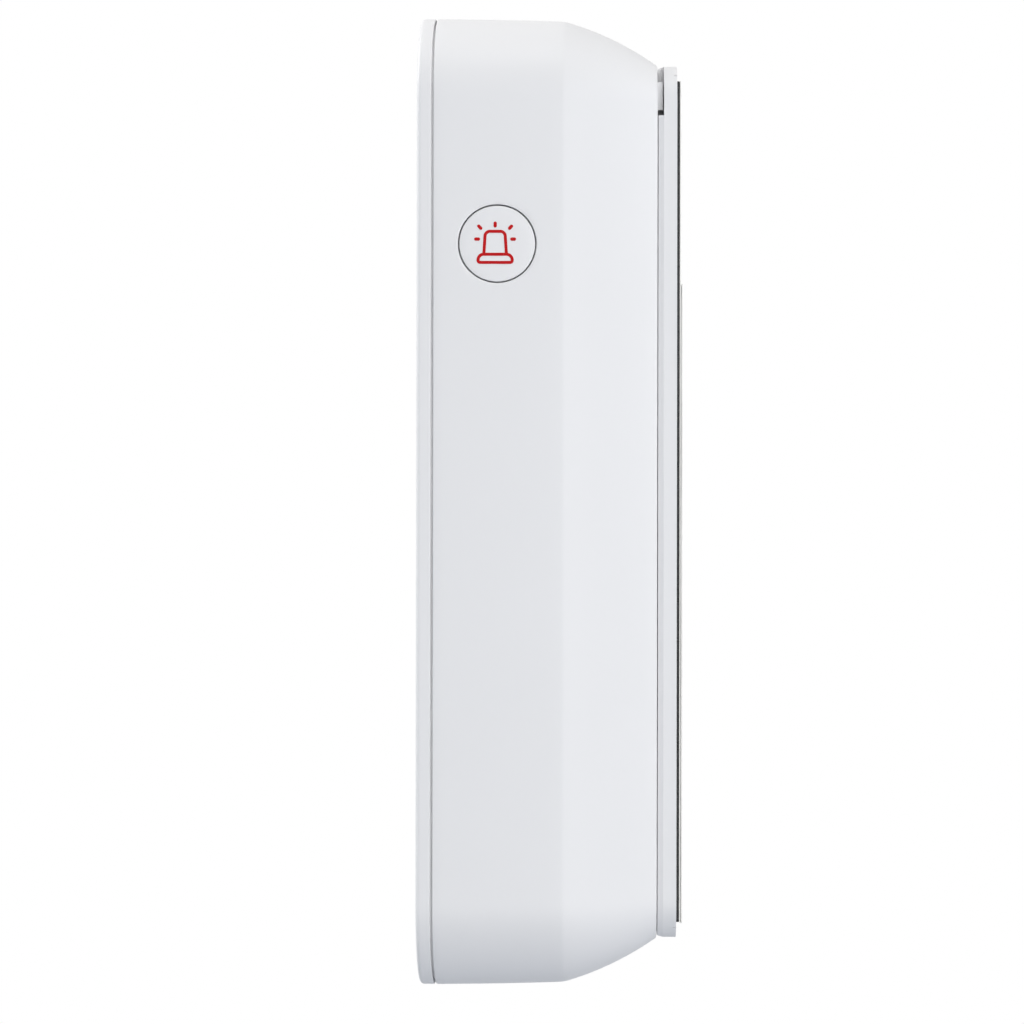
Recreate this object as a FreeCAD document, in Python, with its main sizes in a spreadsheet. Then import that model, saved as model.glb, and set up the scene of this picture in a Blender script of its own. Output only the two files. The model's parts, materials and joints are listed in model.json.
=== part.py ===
import FreeCAD, Part
import math
import os
import re
import Sketcher

# Security keypad for a wall, in millimetres.
# X runs across the keypad, Z runs up, and the wall is the plane Y = 0 with the keypad on its -Y side.
# Depths are given as heights over the wall, so a height of 10 is the plane Y = -10.
# The origin is the middle of the bracket's back face.

SIZES = {
    # outer shape
    "width": 100.0,
    "height": 150.0,
    "corner": 14.0,
    "wall": 2.2,
    "housing_depth": 33.9,
    "crease_up": 14.3,
    "draft": 0.45,
    "bevel_drop": 6.85,
    "bevel_radius": 48.0,
    "seam": 0.3,
    "cover_band": 2.4,
    "cover_edge": 0.45,
    "rib_tall": 2.3,
    "rib_wall": 1.2,
    "fit_gap": 0.15,
    # wall bracket
    "bracket_thick": 2.8,
    "rear_gap": 0.2,
    "bracket_inset": 0.1,
    "rim_depth": 1.0,
    "rim_inset": 0.35,
    "hook_across": 36.0,
    "hook_up": 40.0,
    "hook_width": 6.0,
    "hook_stem": 2.0,
    "hook_lip": 5.0,
    "hook_wall": 1.8,
    "lift": 6.0,
    "slide_gap": 0.3,
    "stop_gap": 0.1,
    "notch_tall": 7.7,
    "notch_across": 6.0,
    "lug_tall": 4.5,
    "lug_wide": 3.6,
    "lug_thick": 0.6,
    "lug_lift": 0.7,
    "screw_across": 13.0,
    "screw_up": 48.0,
    "screw_hole": 2.25,
    "screw_seat": 4.6,
    # adhesive and liner
    "pad_width": 22.0,
    "pad_margin": 2.45,
    "pad_sunk": 0.45,
    "pad_proud": 0.45,
    "liner": 0.2,
    "liner_fold": 0.05,
    "tab_end": 33.5,
    # boards and case screws
    "board_thick": 1.6,
    "board_edge": 1.5,
    "board_up": 28.6,
    "post_across": 35.0,
    "post_up": 57.0,
    "boss_round": 4.2,
    "boss_seat": 3.0,
    "boss_top": 5.6,
    "case_screw": 1.35,
    "case_head": 2.8,
    "head_tall": 2.0,
    "screw_gap": 0.1,
    "post_round": 3.2,
    # parts under the board
    "chip_across": 14.0,
    "chip_up": 12.0,
    "chip_side": 10.0,
    "chip_tall": 1.4,
    "radio_across": 25.0,
    "radio_down": 29.0,
    "radio_wide": 16.0,
    "radio_long": 22.0,
    "radio_carrier": 0.8,
    "can_side": 14.0,
    "can_tall": 2.0,
    "antenna_down": 10.0,
    "antenna_long": 31.0,
    "antenna_wide": 3.0,
    "antenna_tall": 6.0,
    "antenna_sheet": 0.4,
    "capacitor_across": 6.0,
    "capacitor_up": 50.0,
    "capacitor_round": 3.15,
    "capacitor_tall": 7.0,
    # keys
    "key_across": 27.0,
    "key_down": 20.0,
    "first_row": 20.0,
    "mode_row": 44.0,
    "key_width": 22.0,
    "key_tall": 14.4,
    "key_corner": 2.4,
    "key_gap": 0.25,
    "key_sink": 0.1,
    "key_edge": 0.3,
    "key_travel": 0.8,
    "key_lip": 1.0,
    "lip_thick": 0.9,
    "plunger": 4.4,
    "mat_thick": 1.0,
    "mat_margin": 4.0,
    "collar": 1.8,
    # status light and sounder
    "light_down": 12.6,
    "light_wide": 30.0,
    "light_tall": 2.2,
    "lamp_wide": 3.5,
    "lamp_tall": 2.8,
    "sounder_gap": 1.3,
    "sounder_tall": 3.6,
    "slot_wide": 1.2,
    "slot_tall": 9.0,
    "slot_step": 3.2,
    # panic button
    "panic_up": 38.8,
    "panic_back": 9.6,
    "panic_round": 5.8,
    "panic_gap": 0.2,
    "panic_lip": 1.2,
    "panic_travel": 0.8,
    "panic_stem": 3.0,
    "stem_round": 1.45,
    "switch_size": 6.0,
    "switch_tall": 3.5,
    "switch_nub": 0.4,
    "side_board_up": 12.0,
    "header_wide": 2.5,
    "header_long": 16.0,
    # tamper plunger
    "tamper_across": 10.0,
    "tamper_up": 20.0,
    "tamper_round": 1.6,
    "tamper_tip": 0.35,
    "tamper_slope": 0.15,
    "sleeve_wall": 1.5,
    "sleeve_tall": 15.0,
    # cells
    "cell_round": 7.25,
    "cell_long": 50.5,
    "cell_nub": 1.0,
    "nub_round": 2.75,
    "cell_step": 15.0,
    "cell_middle": 33.0,
    "cell_gap": 0.6,
    "bay_side": 0.45,
    "bay_end": 2.75,
    "bay_wall": 1.2,
    "leaf": 0.4,
    "leaf_wide": 8.0,
}

doc = FreeCAD.newDocument("keypad")
sheet = doc.addObject("Spreadsheet::Sheet", "sizes")
for row, (alias, size) in enumerate(SIZES.items(), start=1):
    sheet.set(f"A{row}", alias.replace("_", " "))
    sheet.set(f"B{row}", str(size))
    sheet.setAlias(f"B{row}", alias)
doc.recompute()

# Heights over the wall of the main planes, worked out from the sheet.
BRACKET = "bracket_thick"
BACK = "(bracket_thick + rear_gap)"
FLOOR = f"({BACK} + wall)"
CREASE = f"({BACK} + crease_up)"
RIM = f"({BACK} + housing_depth)"
COVER = f"({RIM} + seam)"
FACE = f"({COVER} + cover_band)"
INSIDE = COVER
BOARD = f"({BACK} + board_up)"
BOARD_FRONT = f"({BOARD} + board_thick)"
BAY = f"({FLOOR} + cell_gap + 2 * cell_round + cell_gap)"
PANIC = f"({RIM} - panic_back)"

# Half sizes of the housing's back face, and the side wall's inner face beside the panic button.
REAR_X = "(width / 2 - draft - bevel_drop)"
REAR_Z = "(height / 2 - draft - bevel_drop)"
REAR_R = "(corner - draft - bevel_drop)"
SIDE = "(width / 2 - draft * panic_back / (housing_depth - crease_up))"
SIDE_IN = "(width / 2 - wall)"

# Heights up the front: the board's top edge, the light, and the sounder between mat and cover rib.
BOARD_TOP = "(height / 2 - draft - wall - board_edge)"
LIGHT = "(height / 2 - light_down)"
RIB_IN = "(height / 2 - wall - fit_gap - rib_wall)"
MAT_LOW = "(3 * key_down - first_row + key_tall / 2 + mat_margin)"
SOUNDER = f"(-({RIB_IN} + {MAT_LOW}) / 2)"
SOUNDER_ROUND = f"(({RIB_IN} - {MAT_LOW}) / 2 - sounder_gap)"

# How far the panic switch reaches in from the side wall: its tip, its block and its board.
SWITCH_TIP = f"({SIDE_IN} - slide_gap - lip_thick - stop_gap - panic_stem)"
SWITCH_TOP = f"({SWITCH_TIP} - switch_nub)"
SIDE_BOARD = f"({SWITCH_TOP} - switch_tall)"

KEYS = [
    ["key_away", "key_home", "key_disarm"],
    ["key_1", "key_2", "key_3"],
    ["key_4", "key_5", "key_6"],
    ["key_7", "key_8", "key_9"],
    ["key_star", "key_0", "key_hash"],
]


def tied(text):
    """The expression with every size read from the sheet."""
    return re.sub(r"[a-z][a-z_]*\b(?!\()", r"sizes.\g<0>", text)


def value(text):
    """The expression's present value."""
    return float(sheet.evalExpression(tied(text)))


def bind(item, path, text):
    item.setExpression(path, tied(text))


def new_body(name):
    """A body for one sub-part; its label is the node's name."""
    body = doc.addObject("PartDesign::Body", name)
    body.Label = name
    body.AllowCompound = True
    return body


def fix_point(rules, edge, end, spot):
    """Both coordinates of one end of an edge, tied to their expressions."""
    for kind, text in zip(("DistanceX", "DistanceY"), spot):
        rules.append((Sketcher.Constraint(kind, -1, 1, edge, end, value(text)), text))


def arc_between(start, end, radius, turn):
    """An arc from start to end; turn is 1 for a left-hand bend and -1 for a right-hand one."""
    chord = end - start
    rise = math.sqrt(radius ** 2 - (chord.Length / 2) ** 2)
    left = FreeCAD.Vector(-chord.y, chord.x, 0).normalize()
    middle = (start + end) / 2 + left * rise * turn
    first, last = (start, end) if turn > 0 else (end, start)
    angles = [math.atan2((p - middle).y, (p - middle).x) for p in (first, last)]
    circle = Part.Circle(middle, FreeCAD.Vector(0, 0, 1), radius)
    return Part.ArcOfCircle(circle, *angles)


def draw_loop(sketch, loop, rules):
    """A closed outline of points (x, y); a third and fourth entry make the next edge an arc."""
    spots = [FreeCAD.Vector(value(point[0]), value(point[1]), 0) for point in loop]
    ends = []
    for point, start, end in zip(loop, spots, spots[1:] + spots[:1]):
        if len(point) == 2:
            edge = sketch.addGeometry(Part.LineSegment(start, end))
            ends.append((edge, 1, 2))
        else:
            radius, turn = point[2], point[3]
            edge = sketch.addGeometry(arc_between(start, end, value(radius), turn))
            rules.append((Sketcher.Constraint("Radius", edge, value(radius)), radius))
            ends.append((edge, 1, 2) if turn > 0 else (edge, 2, 1))
    for place, point in enumerate(loop):
        edge, start, _ = ends[place]
        before, _, finish = ends[place - 1]
        fix_point(rules, edge, start, point[:2])
        rules.append((Sketcher.Constraint("Coincident", before, finish, edge, start), None))


def draw_circle(sketch, x, y, radius, rules):
    centre = FreeCAD.Vector(value(x), value(y), 0)
    edge = sketch.addGeometry(Part.Circle(centre, FreeCAD.Vector(0, 0, 1), value(radius)))
    fix_point(rules, edge, 3, (x, y))
    rules.append((Sketcher.Constraint("Radius", edge, value(radius)), radius))


def draw(sketch, loops=(), circles=()):
    """Outlines and circles in one sketch, with every size and place tied to the sheet."""
    rules = []
    for loop in loops:
        draw_loop(sketch, loop, rules)
    for circle in circles:
        draw_circle(sketch, *circle, rules)
    sketch.addConstraint([rule for rule, _ in rules])
    for index, (_, text) in enumerate(rules):
        if text is not None:
            bind(sketch, f"Constraints[{index}]", text)


def new_sketch(body, name, plane, level):
    """An empty sketch parallel to one of the body's planes, at a level along its normal."""
    sketch = body.newObject("Sketcher::SketchObject", name)
    origin = next(item for item in body.Origin.OriginFeatures if item.Role == plane)
    sketch.AttachmentSupport = (origin, [""])
    sketch.MapMode = "FlatFace"
    bind(sketch, "AttachmentOffset.Base.z", level)
    return sketch


def form(body, name, low, high, loops=(), circles=(), cut=False, plane="XZ_Plane"):
    """Outlines padded, or cut, between two levels; on XZ_Plane a level is a height over the wall."""
    sketch = new_sketch(body, f"{name}_outline", plane, low)
    draw(sketch, loops, circles)
    feature = body.newObject("PartDesign::Pocket" if cut else "PartDesign::Pad", name)
    feature.Profile = sketch
    feature.Reversed = cut
    bind(feature, "Length", f"({high}) - ({low})")
    sketch.Visibility = False
    return feature


def rectangle(x, y, half_x, half_y, corner=None):
    """A rectangle about (x, y), with rounded corners if a corner radius is given."""
    west, east = f"{x} - {half_x}", f"{x} + {half_x}"
    south, north = f"{y} - {half_y}", f"{y} + {half_y}"
    if corner is None:
        return [(west, south), (east, south), (east, north), (west, north)]
    return [
        (f"{west} + {corner}", south),
        (f"{east} - {corner}", south, corner, 1),
        (east, f"{south} + {corner}"),
        (east, f"{north} - {corner}", corner, 1),
        (f"{east} - {corner}", north),
        (f"{west} + {corner}", north, corner, 1),
        (west, f"{north} - {corner}"),
        (west, f"{south} + {corner}", corner, 1),
    ]


def cut_rectangle(x, y, half_x, half_y, corner):
    """A rectangle about (x, y) whose rounded corners are made of two flats each."""
    slack = f"({corner} * (1 - cos(45)))"
    spots = []
    for side_x, side_y in ((1, -1), (1, 1), (-1, 1), (-1, -1)):
        steps = [(corner, "0"), (slack, slack), ("0", corner)]
        if side_x * side_y > 0:
            steps.reverse()
        for back_x, back_y in steps:
            across = f"{x} + {side_x} * ({half_x} - {back_x})"
            up = f"{y} + {side_y} * ({half_y} - {back_y})"
            spots.append((across, up))
    return spots


def round_outline(x, y, radius, sides=12):
    """A hidden round, drawn with a few flat sides inside its circle."""
    turns = [f"{360 * (number + 0.5) / sides}" for number in range(sides)]
    return [(f"{x} + {radius} * cos({turn})", f"{y} + {radius} * sin({turn})") for turn in turns]


def case_outline(inset):
    """The keypad's front outline, set inwards by a distance."""
    return rectangle("0", "0", f"(width / 2 - {inset})", f"(height / 2 - {inset})", f"(corner - {inset})")


def back_outline(inset):
    """The outline of the housing's back face, set inwards by a distance."""
    return rectangle("0", "0", f"({REAR_X} - {inset})", f"({REAR_Z} - {inset})", f"({REAR_R} - {inset})")


def four(across, up):
    """The four places at plus and minus across, plus and minus up."""
    return [(f"({i} * {across})", f"({j} * {up})") for i in (-1, 1) for j in (-1, 1)]


def edges_at(feature, height):
    """Names of the feature's edges that lie in the plane at a height over the wall."""
    feature.getParentGeoFeatureGroup().recompute(True)
    level = -value(height)
    names = []
    for number, edge in enumerate(feature.Shape.Edges, start=1):
        box = edge.BoundBox
        if abs(box.YMin - level) < 1e-4 and abs(box.YMax - level) < 1e-4:
            names.append(f"Edge{number}")
    return names


def cut_edges(body, name, feature, height, size):
    """A chamfer on every edge of the feature at a height over the wall."""
    chamfer = body.newObject("PartDesign::Chamfer", name)
    chamfer.Base = (feature, edges_at(feature, height))
    bind(chamfer, "Size", size)


def key_places():
    """Each key's name with its column and row as expressions."""
    for row, names in enumerate(KEYS):
        z = "mode_row" if row == 0 else f"(first_row - {row - 1} * key_down)"
        for column, name in enumerate(names, start=-1):
            yield name, f"({column} * key_across)", z


def make_housing():
    """The deep shell: its wall runs round the outline, straight to the crease and then in a bevel."""
    body = new_body("rear_housing")
    path = new_sketch(body, "wall_path", "XZ_Plane", RIM)
    draw(path, [case_outline("0")])
    section = new_sketch(body, "wall_section", "YZ_Plane", "corner - width / 2")
    draw(section, [[
        (f"-{RIM}", "-height / 2"),
        (f"-{CREASE}", "draft - height / 2", "bevel_radius", 1),
        (f"-{BACK}", f"-{REAR_Z}"),
        (f"-{BACK}", f"-({REAR_Z} - 0.8 * wall)"),
        (f"-{CREASE}", "wall - height / 2"),
        (f"-{RIM}", "wall - height / 2"),
    ]])
    shell = body.newObject("PartDesign::AdditivePipe", "shell_wall")
    shell.Profile = section
    shell.Spine = (path, [f"Edge{number}" for number in range(1, 9)])
    shell.Mode = "Frenet"
    path.Visibility = False
    section.Visibility = False
    form(body, "back_wall", BACK, FLOOR, [back_outline("wall / 4")])
    bay_z = "(-cell_middle)"
    half_x = "(1.5 * cell_step + cell_round + bay_side)"
    half_z = "(cell_long / 2 + bay_end)"
    inner = rectangle("0", bay_z, half_x, half_z)
    outer = rectangle("0", bay_z, f"({half_x} + bay_wall)", f"({half_z} + bay_wall)")
    form(body, "bay_opening", BACK, FLOOR, [inner], cut=True)
    form(body, "bay_walls", BACK, BAY, [outer, inner])
    form(body, "bay_roof", BAY, f"{BAY} + bay_wall", [outer])
    posts = four("post_across", "post_up")
    form(body, "screw_bosses", BACK, BOARD, [round_outline(x, z, "boss_round") for x, z in posts])
    seat = f"({BOARD} - boss_top)"
    form(body, "head_wells", BACK, seat, [round_outline(x, z, "boss_seat") for x, z in posts], cut=True)
    hole = "(case_screw + screw_gap)"
    form(body, "screw_ways", seat, BOARD, [round_outline(x, z, hole) for x, z in posts], cut=True)
    slot_x = "(hook_width / 2 + slide_gap)"
    slot_z = "(hook_stem + lift + 2 * stop_gap) / 2"
    drop = "(lift / 2)"
    slots = [rectangle(x, f"{z} - {drop}", slot_x, slot_z) for x, z in four("hook_across", "hook_up")]
    form(body, "hook_slots", BACK, FLOOR, slots, cut=True)
    bore = "(tamper_round + slide_gap)"
    place = ("tamper_across", "tamper_up")
    sleeve = round_outline(*place, f"({bore} + sleeve_wall)")
    form(body, "plunger_sleeve", BACK, f"{BACK} + sleeve_tall", [sleeve])
    form(body, "plunger_way", BACK, f"{BACK} + sleeve_tall", [round_outline(*place, bore)], cut=True)
    lug_z = f"({REAR_Z} - notch_tall + lug_lift + lug_tall / 2)"
    lug_x = f"({REAR_X} - notch_across + slide_gap + lug_wide / 2)"
    lugs = [rectangle(f"({side} * {lug_x})", lug_z, "lug_wide / 2", "lug_tall / 2") for side in (-1, 1)]
    form(body, "guide_lugs", f"{BACK} - rear_gap - lug_thick", BACK, lugs)
    hole = (f"-{PANIC}", "panic_up", "(panic_round + panic_gap)")
    form(body, "button_hole", f"{SIDE_IN} - wall", "width / 2", circles=[hole], cut=True, plane="YZ_Plane")


def make_cover():
    """The front plate, with ribs that locate it in the housing and posts for the case screws."""
    body = new_body("front_cover")
    plate = form(body, "plate", COVER, FACE, [case_outline("0")])
    cut_edges(body, "front_edge", plate, FACE, "cover_edge")
    half_x, half_z = "(width / 2 - corner)", "(height / 2 - corner)"
    rib_x = "(width / 2 - wall - fit_gap - rib_wall / 2)"
    rib_z = f"({RIB_IN} + rib_wall / 2)"
    ribs = [rectangle(f"({side} * {rib_x})", "0", "rib_wall / 2", half_z) for side in (-1, 1)]
    ribs += [rectangle("0", f"({side} * {rib_z})", half_x, "rib_wall / 2") for side in (-1, 1)]
    form(body, "locating_ribs", f"{RIM} - rib_tall", INSIDE, ribs)
    size = ("(key_width / 2 + key_gap)", "(key_tall / 2 + key_gap)", "(key_corner + key_gap)")
    openings = [cut_rectangle(x, z, *size) for _, x, z in key_places()]
    for row in range(len(KEYS)):
        form(body, f"key_openings_{row}", INSIDE, FACE, openings[3 * row:3 * row + 3], cut=True)
    light = cut_rectangle("0", LIGHT, "light_wide / 2", "light_tall / 2", "light_tall / 3")
    form(body, "light_slot", INSIDE, FACE, [light], cut=True)
    slots = [rectangle(f"({step} * slot_step)", SOUNDER, "slot_wide / 2", "slot_tall / 2")
             for step in range(-2, 3)]
    form(body, "sound_slots", INSIDE, FACE, slots, cut=True)
    posts = four("post_across", "post_up")
    form(body, "screw_posts", BOARD_FRONT, INSIDE, [round_outline(x, z, "post_round") for x, z in posts])
    hole = "(case_screw + screw_gap)"
    form(body, "screw_holes", BOARD_FRONT, INSIDE, [round_outline(x, z, hole) for x, z in posts], cut=True)


def make_key(name, x, z):
    """One key: the cap in its opening, a lip that keeps it in, and the plunger that presses the mat."""
    body = new_body(name)
    half_x, half_z = "key_width / 2", "key_tall / 2"
    lip_top = f"({INSIDE} - slide_gap)"
    top = f"({FACE} - key_sink)"
    cap = form(body, f"{name}_cap", lip_top, top, [cut_rectangle(x, z, half_x, half_z, "key_corner")])
    cut_edges(body, f"{name}_edge", cap, top, "key_edge")
    lip = rectangle(x, z, f"({half_x} + key_lip)", f"({half_z} + key_lip)")
    form(body, f"{name}_lip", f"{lip_top} - lip_thick", lip_top, [lip])
    foot = f"({BOARD_FRONT} + key_travel + slide_gap - stop_gap)"
    stem = rectangle(x, z, "plunger / 2", "plunger / 2")
    form(body, f"{name}_plunger", foot, f"{lip_top} - lip_thick", [stem])


def make_mat():
    """The silicone mat on the board, with a collar round each key's plunger."""
    body = new_body("key_mat")
    high = "(mode_row + key_tall / 2 + mat_margin / 2)"
    middle = f"(({high} - {MAT_LOW}) / 2)"
    half_x = "(key_across + key_width / 2 + mat_margin)"
    outline = rectangle("0", middle, half_x, f"(({high} + {MAT_LOW}) / 2)", "mat_margin")
    form(body, "mat_sheet", BOARD_FRONT, f"{BOARD_FRONT} + mat_thick", [outline])
    bore = "(plunger / 2 + slide_gap)"
    outer = f"({bore} + collar)"
    top = f"({INSIDE} - 2 * slide_gap - lip_thick - key_travel)"
    places = [(x, z) for _, x, z in key_places()]
    collars = [rectangle(x, z, outer, outer) for x, z in places]
    form(body, "mat_collars", f"{BOARD_FRONT} + mat_thick", top, collars)
    bores = [rectangle(x, z, bore, bore) for x, z in places]
    form(body, "mat_bores", BOARD_FRONT, top, bores, cut=True)


def make_board():
    """The main board, clamped between the housing's bosses and the cover's posts."""
    body = new_body("main_board")
    form(body, "board", BOARD, BOARD_FRONT, [case_outline("(draft + wall + board_edge)")])
    hole = "(case_screw + 2 * screw_gap)"
    holes = [round_outline(x, z, hole) for x, z in four("post_across", "post_up")]
    form(body, "board_holes", BOARD, BOARD_FRONT, holes, cut=True)
    reach = "(panic_round + panic_lip + slide_gap)"
    start = f"({SIDE_IN} - 2 * slide_gap - stop_gap - lip_thick - panic_travel)"
    notch = rectangle(f"(({start} + width / 2) / 2)", "panic_up", f"((width / 2 - {start}) / 2)", reach)
    form(body, "button_notch", BOARD, BOARD_FRONT, [notch], cut=True)


def make_case_screws():
    """Four screws from the back, through the bosses and the board into the cover's posts."""
    body = new_body("case_screws")
    seat = f"({BOARD} - boss_top)"
    posts = four("post_across", "post_up")
    shanks = [round_outline(x, z, "case_screw") for x, z in posts]
    form(body, "screw_shanks", seat, f"{INSIDE} - lip_thick", shanks)
    heads = [round_outline(x, z, "case_head") for x, z in posts]
    form(body, "screw_heads", f"{seat} - head_tall", seat, heads)


def make_status_light():
    """The light window in the cover and the lamps on the board behind it."""
    window = new_body("status_window")
    half_x, half_z = "(light_wide / 2 - fit_gap)", "(light_tall / 2 - fit_gap)"
    low = f"({INSIDE} - 3 * lip_thick)"
    bar = cut_rectangle("0", LIGHT, half_x, half_z, "light_tall / 3")
    form(window, "light_bar", low, f"{FACE} - key_sink", [bar])
    lip = rectangle("0", LIGHT, f"({half_x} + key_lip)", f"({half_z} + key_lip)")
    form(window, "light_lip", f"{INSIDE} - slide_gap - lip_thick", f"{INSIDE} - slide_gap", [lip])
    lamps = new_body("status_lamps")
    blocks = [rectangle(f"({step} * light_wide / 3)", LIGHT, "lamp_wide / 2", "lamp_tall / 2")
              for step in (-1, 0, 1)]
    form(lamps, "lamp_blocks", BOARD_FRONT, f"{low} - slide_gap", blocks)


def make_sounder():
    """The round sounder on the board behind the slots."""
    body = new_body("sounder")
    top = f"{BOARD_FRONT} + sounder_tall"
    form(body, "case", BOARD_FRONT, top, [round_outline("0", SOUNDER, SOUNDER_ROUND, 24)])
    port = round_outline("0", SOUNDER, f"({SOUNDER_ROUND} / 4)")
    form(body, "sound_port", f"{top} - lip_thick", top, [port], cut=True)


def make_board_parts():
    """The controller, the radio with its can and antenna, and the capacitors, under the board."""
    chip = new_body("controller_chip")
    block = rectangle("(-chip_across)", "chip_up", "chip_side / 2", "chip_side / 2")
    form(chip, "chip", f"{BOARD} - chip_tall", BOARD, [block])
    radio = new_body("radio_module")
    across, up = "(-radio_across)", f"({BOARD_TOP} - radio_down)"
    carrier = rectangle(across, up, "radio_wide / 2", "radio_long / 2")
    form(radio, "carrier", f"{BOARD} - radio_carrier", BOARD, [carrier])
    can_up = f"({up} - (radio_long - can_side) / 2 + radio_carrier / 2)"
    can = rectangle(across, can_up, "can_side / 2", "can_side / 2")
    form(radio, "can", f"{BOARD} - radio_carrier - can_tall", f"{BOARD} - radio_carrier", [can])
    antenna = new_body("antenna")
    up, half = f"({BOARD_TOP} - antenna_down)", "antenna_wide / 2"
    foot = rectangle(across, up, half, half)
    form(antenna, "foot", f"{BOARD} - antenna_sheet", BOARD, [foot])
    riser = rectangle(across, f"({up} + {half} - antenna_sheet / 2)", half, "antenna_sheet / 2")
    form(antenna, "riser", f"{BOARD} - antenna_tall", BOARD, [riser])
    arm = rectangle(f"({across} + (antenna_long - antenna_wide) / 2)", up, "antenna_long / 2", half)
    form(antenna, "arm", f"{BOARD} - antenna_tall", f"{BOARD} - antenna_tall + antenna_sheet", [arm])
    capacitors = new_body("capacitors")
    cans = [round_outline(place, "capacitor_up", "capacitor_round")
            for place in ("(capacitor_across - capacitor_round - slide_gap)",
                          "(capacitor_across + capacitor_round + slide_gap)")]
    form(capacitors, "cans", f"{BOARD} - capacitor_tall", BOARD, cans)


def make_panic_button():
    """The round button in the side wall; its face follows the wall's slope."""
    body = new_body("panic_button")
    centre = (f"-{PANIC}", "panic_up")
    seat = f"({SIDE_IN} - slide_gap - stop_gap)"
    form(body, "panic_cap", seat, "width / 2", circles=[(*centre, "panic_round")], plane="YZ_Plane")
    reach = "(panic_round + panic_gap)"
    slope = "draft / (housing_depth - crease_up)"
    inner, outer = f"{SIDE} - {slope} * {reach}", f"{SIDE} + {slope} * {reach}"
    beyond = "width / 2 + wall"
    wedge = [
        (f"{outer}", f"-{PANIC} - {reach}"),
        (beyond, f"-{PANIC} - {reach}"),
        (beyond, f"-{PANIC} + {reach}"),
        (f"{inner}", f"-{PANIC} + {reach}"),
    ]
    low, high = f"panic_up - {reach}", f"panic_up + {reach}"
    form(body, "panic_face", low, high, [wedge], cut=True, plane="XY_Plane")
    lip = round_outline(*centre, "(panic_round + panic_lip)")
    form(body, "panic_lip_ring", f"{seat} - lip_thick", seat, [lip], plane="YZ_Plane")
    tip = f"{SWITCH_TIP} + panic_travel + slide_gap"
    stem = round_outline(*centre, "stem_round")
    form(body, "panic_stem", tip, f"{seat} - lip_thick", [stem], plane="YZ_Plane")


def make_panic_switch():
    """The side board that stands under the main board, its switch, and the header that joins them."""
    switch = new_body("panic_switch")
    centre = (f"-{PANIC}", "panic_up")
    block = rectangle(*centre, "switch_size / 2", "switch_size / 2")
    form(switch, "switch_block", SIDE_BOARD, SWITCH_TOP, [block], plane="YZ_Plane")
    nub = round_outline(*centre, "switch_size / 4")
    form(switch, "switch_button", SWITCH_TOP, SWITCH_TIP, [nub], plane="YZ_Plane")
    board = new_body("side_board")
    top = f"({BOARD} - stop_gap)"
    low = f"({BOARD} - side_board_up)"
    middle, half = f"(-({top} + {low}) / 2)", f"(({top} - {low}) / 2)"
    outline = rectangle(middle, "panic_up", half, "2 * switch_size")
    form(board, "side_plate", f"{SIDE_BOARD} - board_thick", SIDE_BOARD, [outline], plane="YZ_Plane")
    header = new_body("board_header")
    across = f"({SIDE_BOARD} - board_thick - header_wide / 2)"
    block = rectangle(across, "panic_up", "header_wide / 2", "header_long / 2")
    form(header, "header_block", f"{BOARD} - header_wide", BOARD, [block])


def make_tamper():
    """The plunger that the bracket pushes in, and its switch under the board."""
    place = ("tamper_across", "tamper_up")
    switch = new_body("tamper_switch")
    low = f"({BOARD} - switch_tall)"
    form(switch, "tamper_block", low, BOARD, [rectangle(*place, "switch_size / 2", "switch_size / 2")])
    nub = round_outline(*place, "switch_size / 4")
    form(switch, "tamper_nub", f"{low} - switch_nub", low, [nub])
    plunger = new_body("tamper_plunger")
    tip = f"({BACK} - tamper_tip)"
    end = f"({low} - switch_nub - slide_gap)"
    form(plunger, "rod", tip, end, [round_outline(*place, "tamper_round")])
    seat = f"({BACK} + sleeve_tall + tamper_slope * lift + slide_gap)"
    collar = round_outline(*place, "(tamper_round + slide_gap + sleeve_wall)")
    form(plunger, "stop_collar", seat, f"{seat} + lip_thick", [collar])


def make_cells():
    """Four AA cells side by side in the bay, each the other way up from its neighbour."""
    middle = f"{FLOOR} + cell_gap + cell_round"
    for number in range(4):
        body = new_body(f"battery_{number + 1}")
        place = (f"({number - 1.5} * cell_step)", f"-({middle})")
        up = number % 2
        low = f"(-cell_middle - cell_long / 2 + {1 - up} * cell_nub)"
        high = f"({low} + cell_long - cell_nub)"
        form(body, f"can_{number}", low, high, [round_outline(*place, "cell_round", 24)], plane="XY_Plane")
        nub_low = high if up else f"({low} - cell_nub)"
        nub = round_outline(*place, "nub_round")
        form(body, f"nub_{number}", nub_low, f"{nub_low} + cell_nub", [nub], plane="XY_Plane")


def make_contacts():
    """The bent leaves at both ends of the bay, one for each end of each cell."""
    centre = f"({FLOOR} + cell_gap + cell_round)"
    wide = "(cell_round - 1.5)"
    bend = "(cell_round / 2)"
    reach = "(bay_end - slide_gap)"
    for name, side in (("contacts_upper", 1), ("contacts_lower", -1)):
        body = new_body(name)
        end = f"({side} * (cell_long / 2 + bay_end) - cell_middle)"
        profile = [
            (f"-{centre} - {wide}", end),
            (f"-{centre} - {bend}", end),
            (f"-{centre}", f"{end} - {side} * ({reach} - leaf)"),
            (f"-{centre} + {bend}", end),
            (f"-{centre} + {wide}", end),
            (f"-{centre} + {wide}", f"{end} - {side} * leaf"),
            (f"-{centre} + {bend}", f"{end} - {side} * leaf"),
            (f"-{centre}", f"{end} - {side} * {reach}"),
            (f"-{centre} - {bend}", f"{end} - {side} * leaf"),
            (f"-{centre} - {wide}", f"{end} - {side} * leaf"),
        ]
        for number in range(4):
            x = f"{number - 1.5} * cell_step"
            low, high = f"{x} - leaf_wide / 2", f"{x} + leaf_wide / 2"
            form(body, f"{name}_{number}", low, high, [profile], plane="YZ_Plane")


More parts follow.
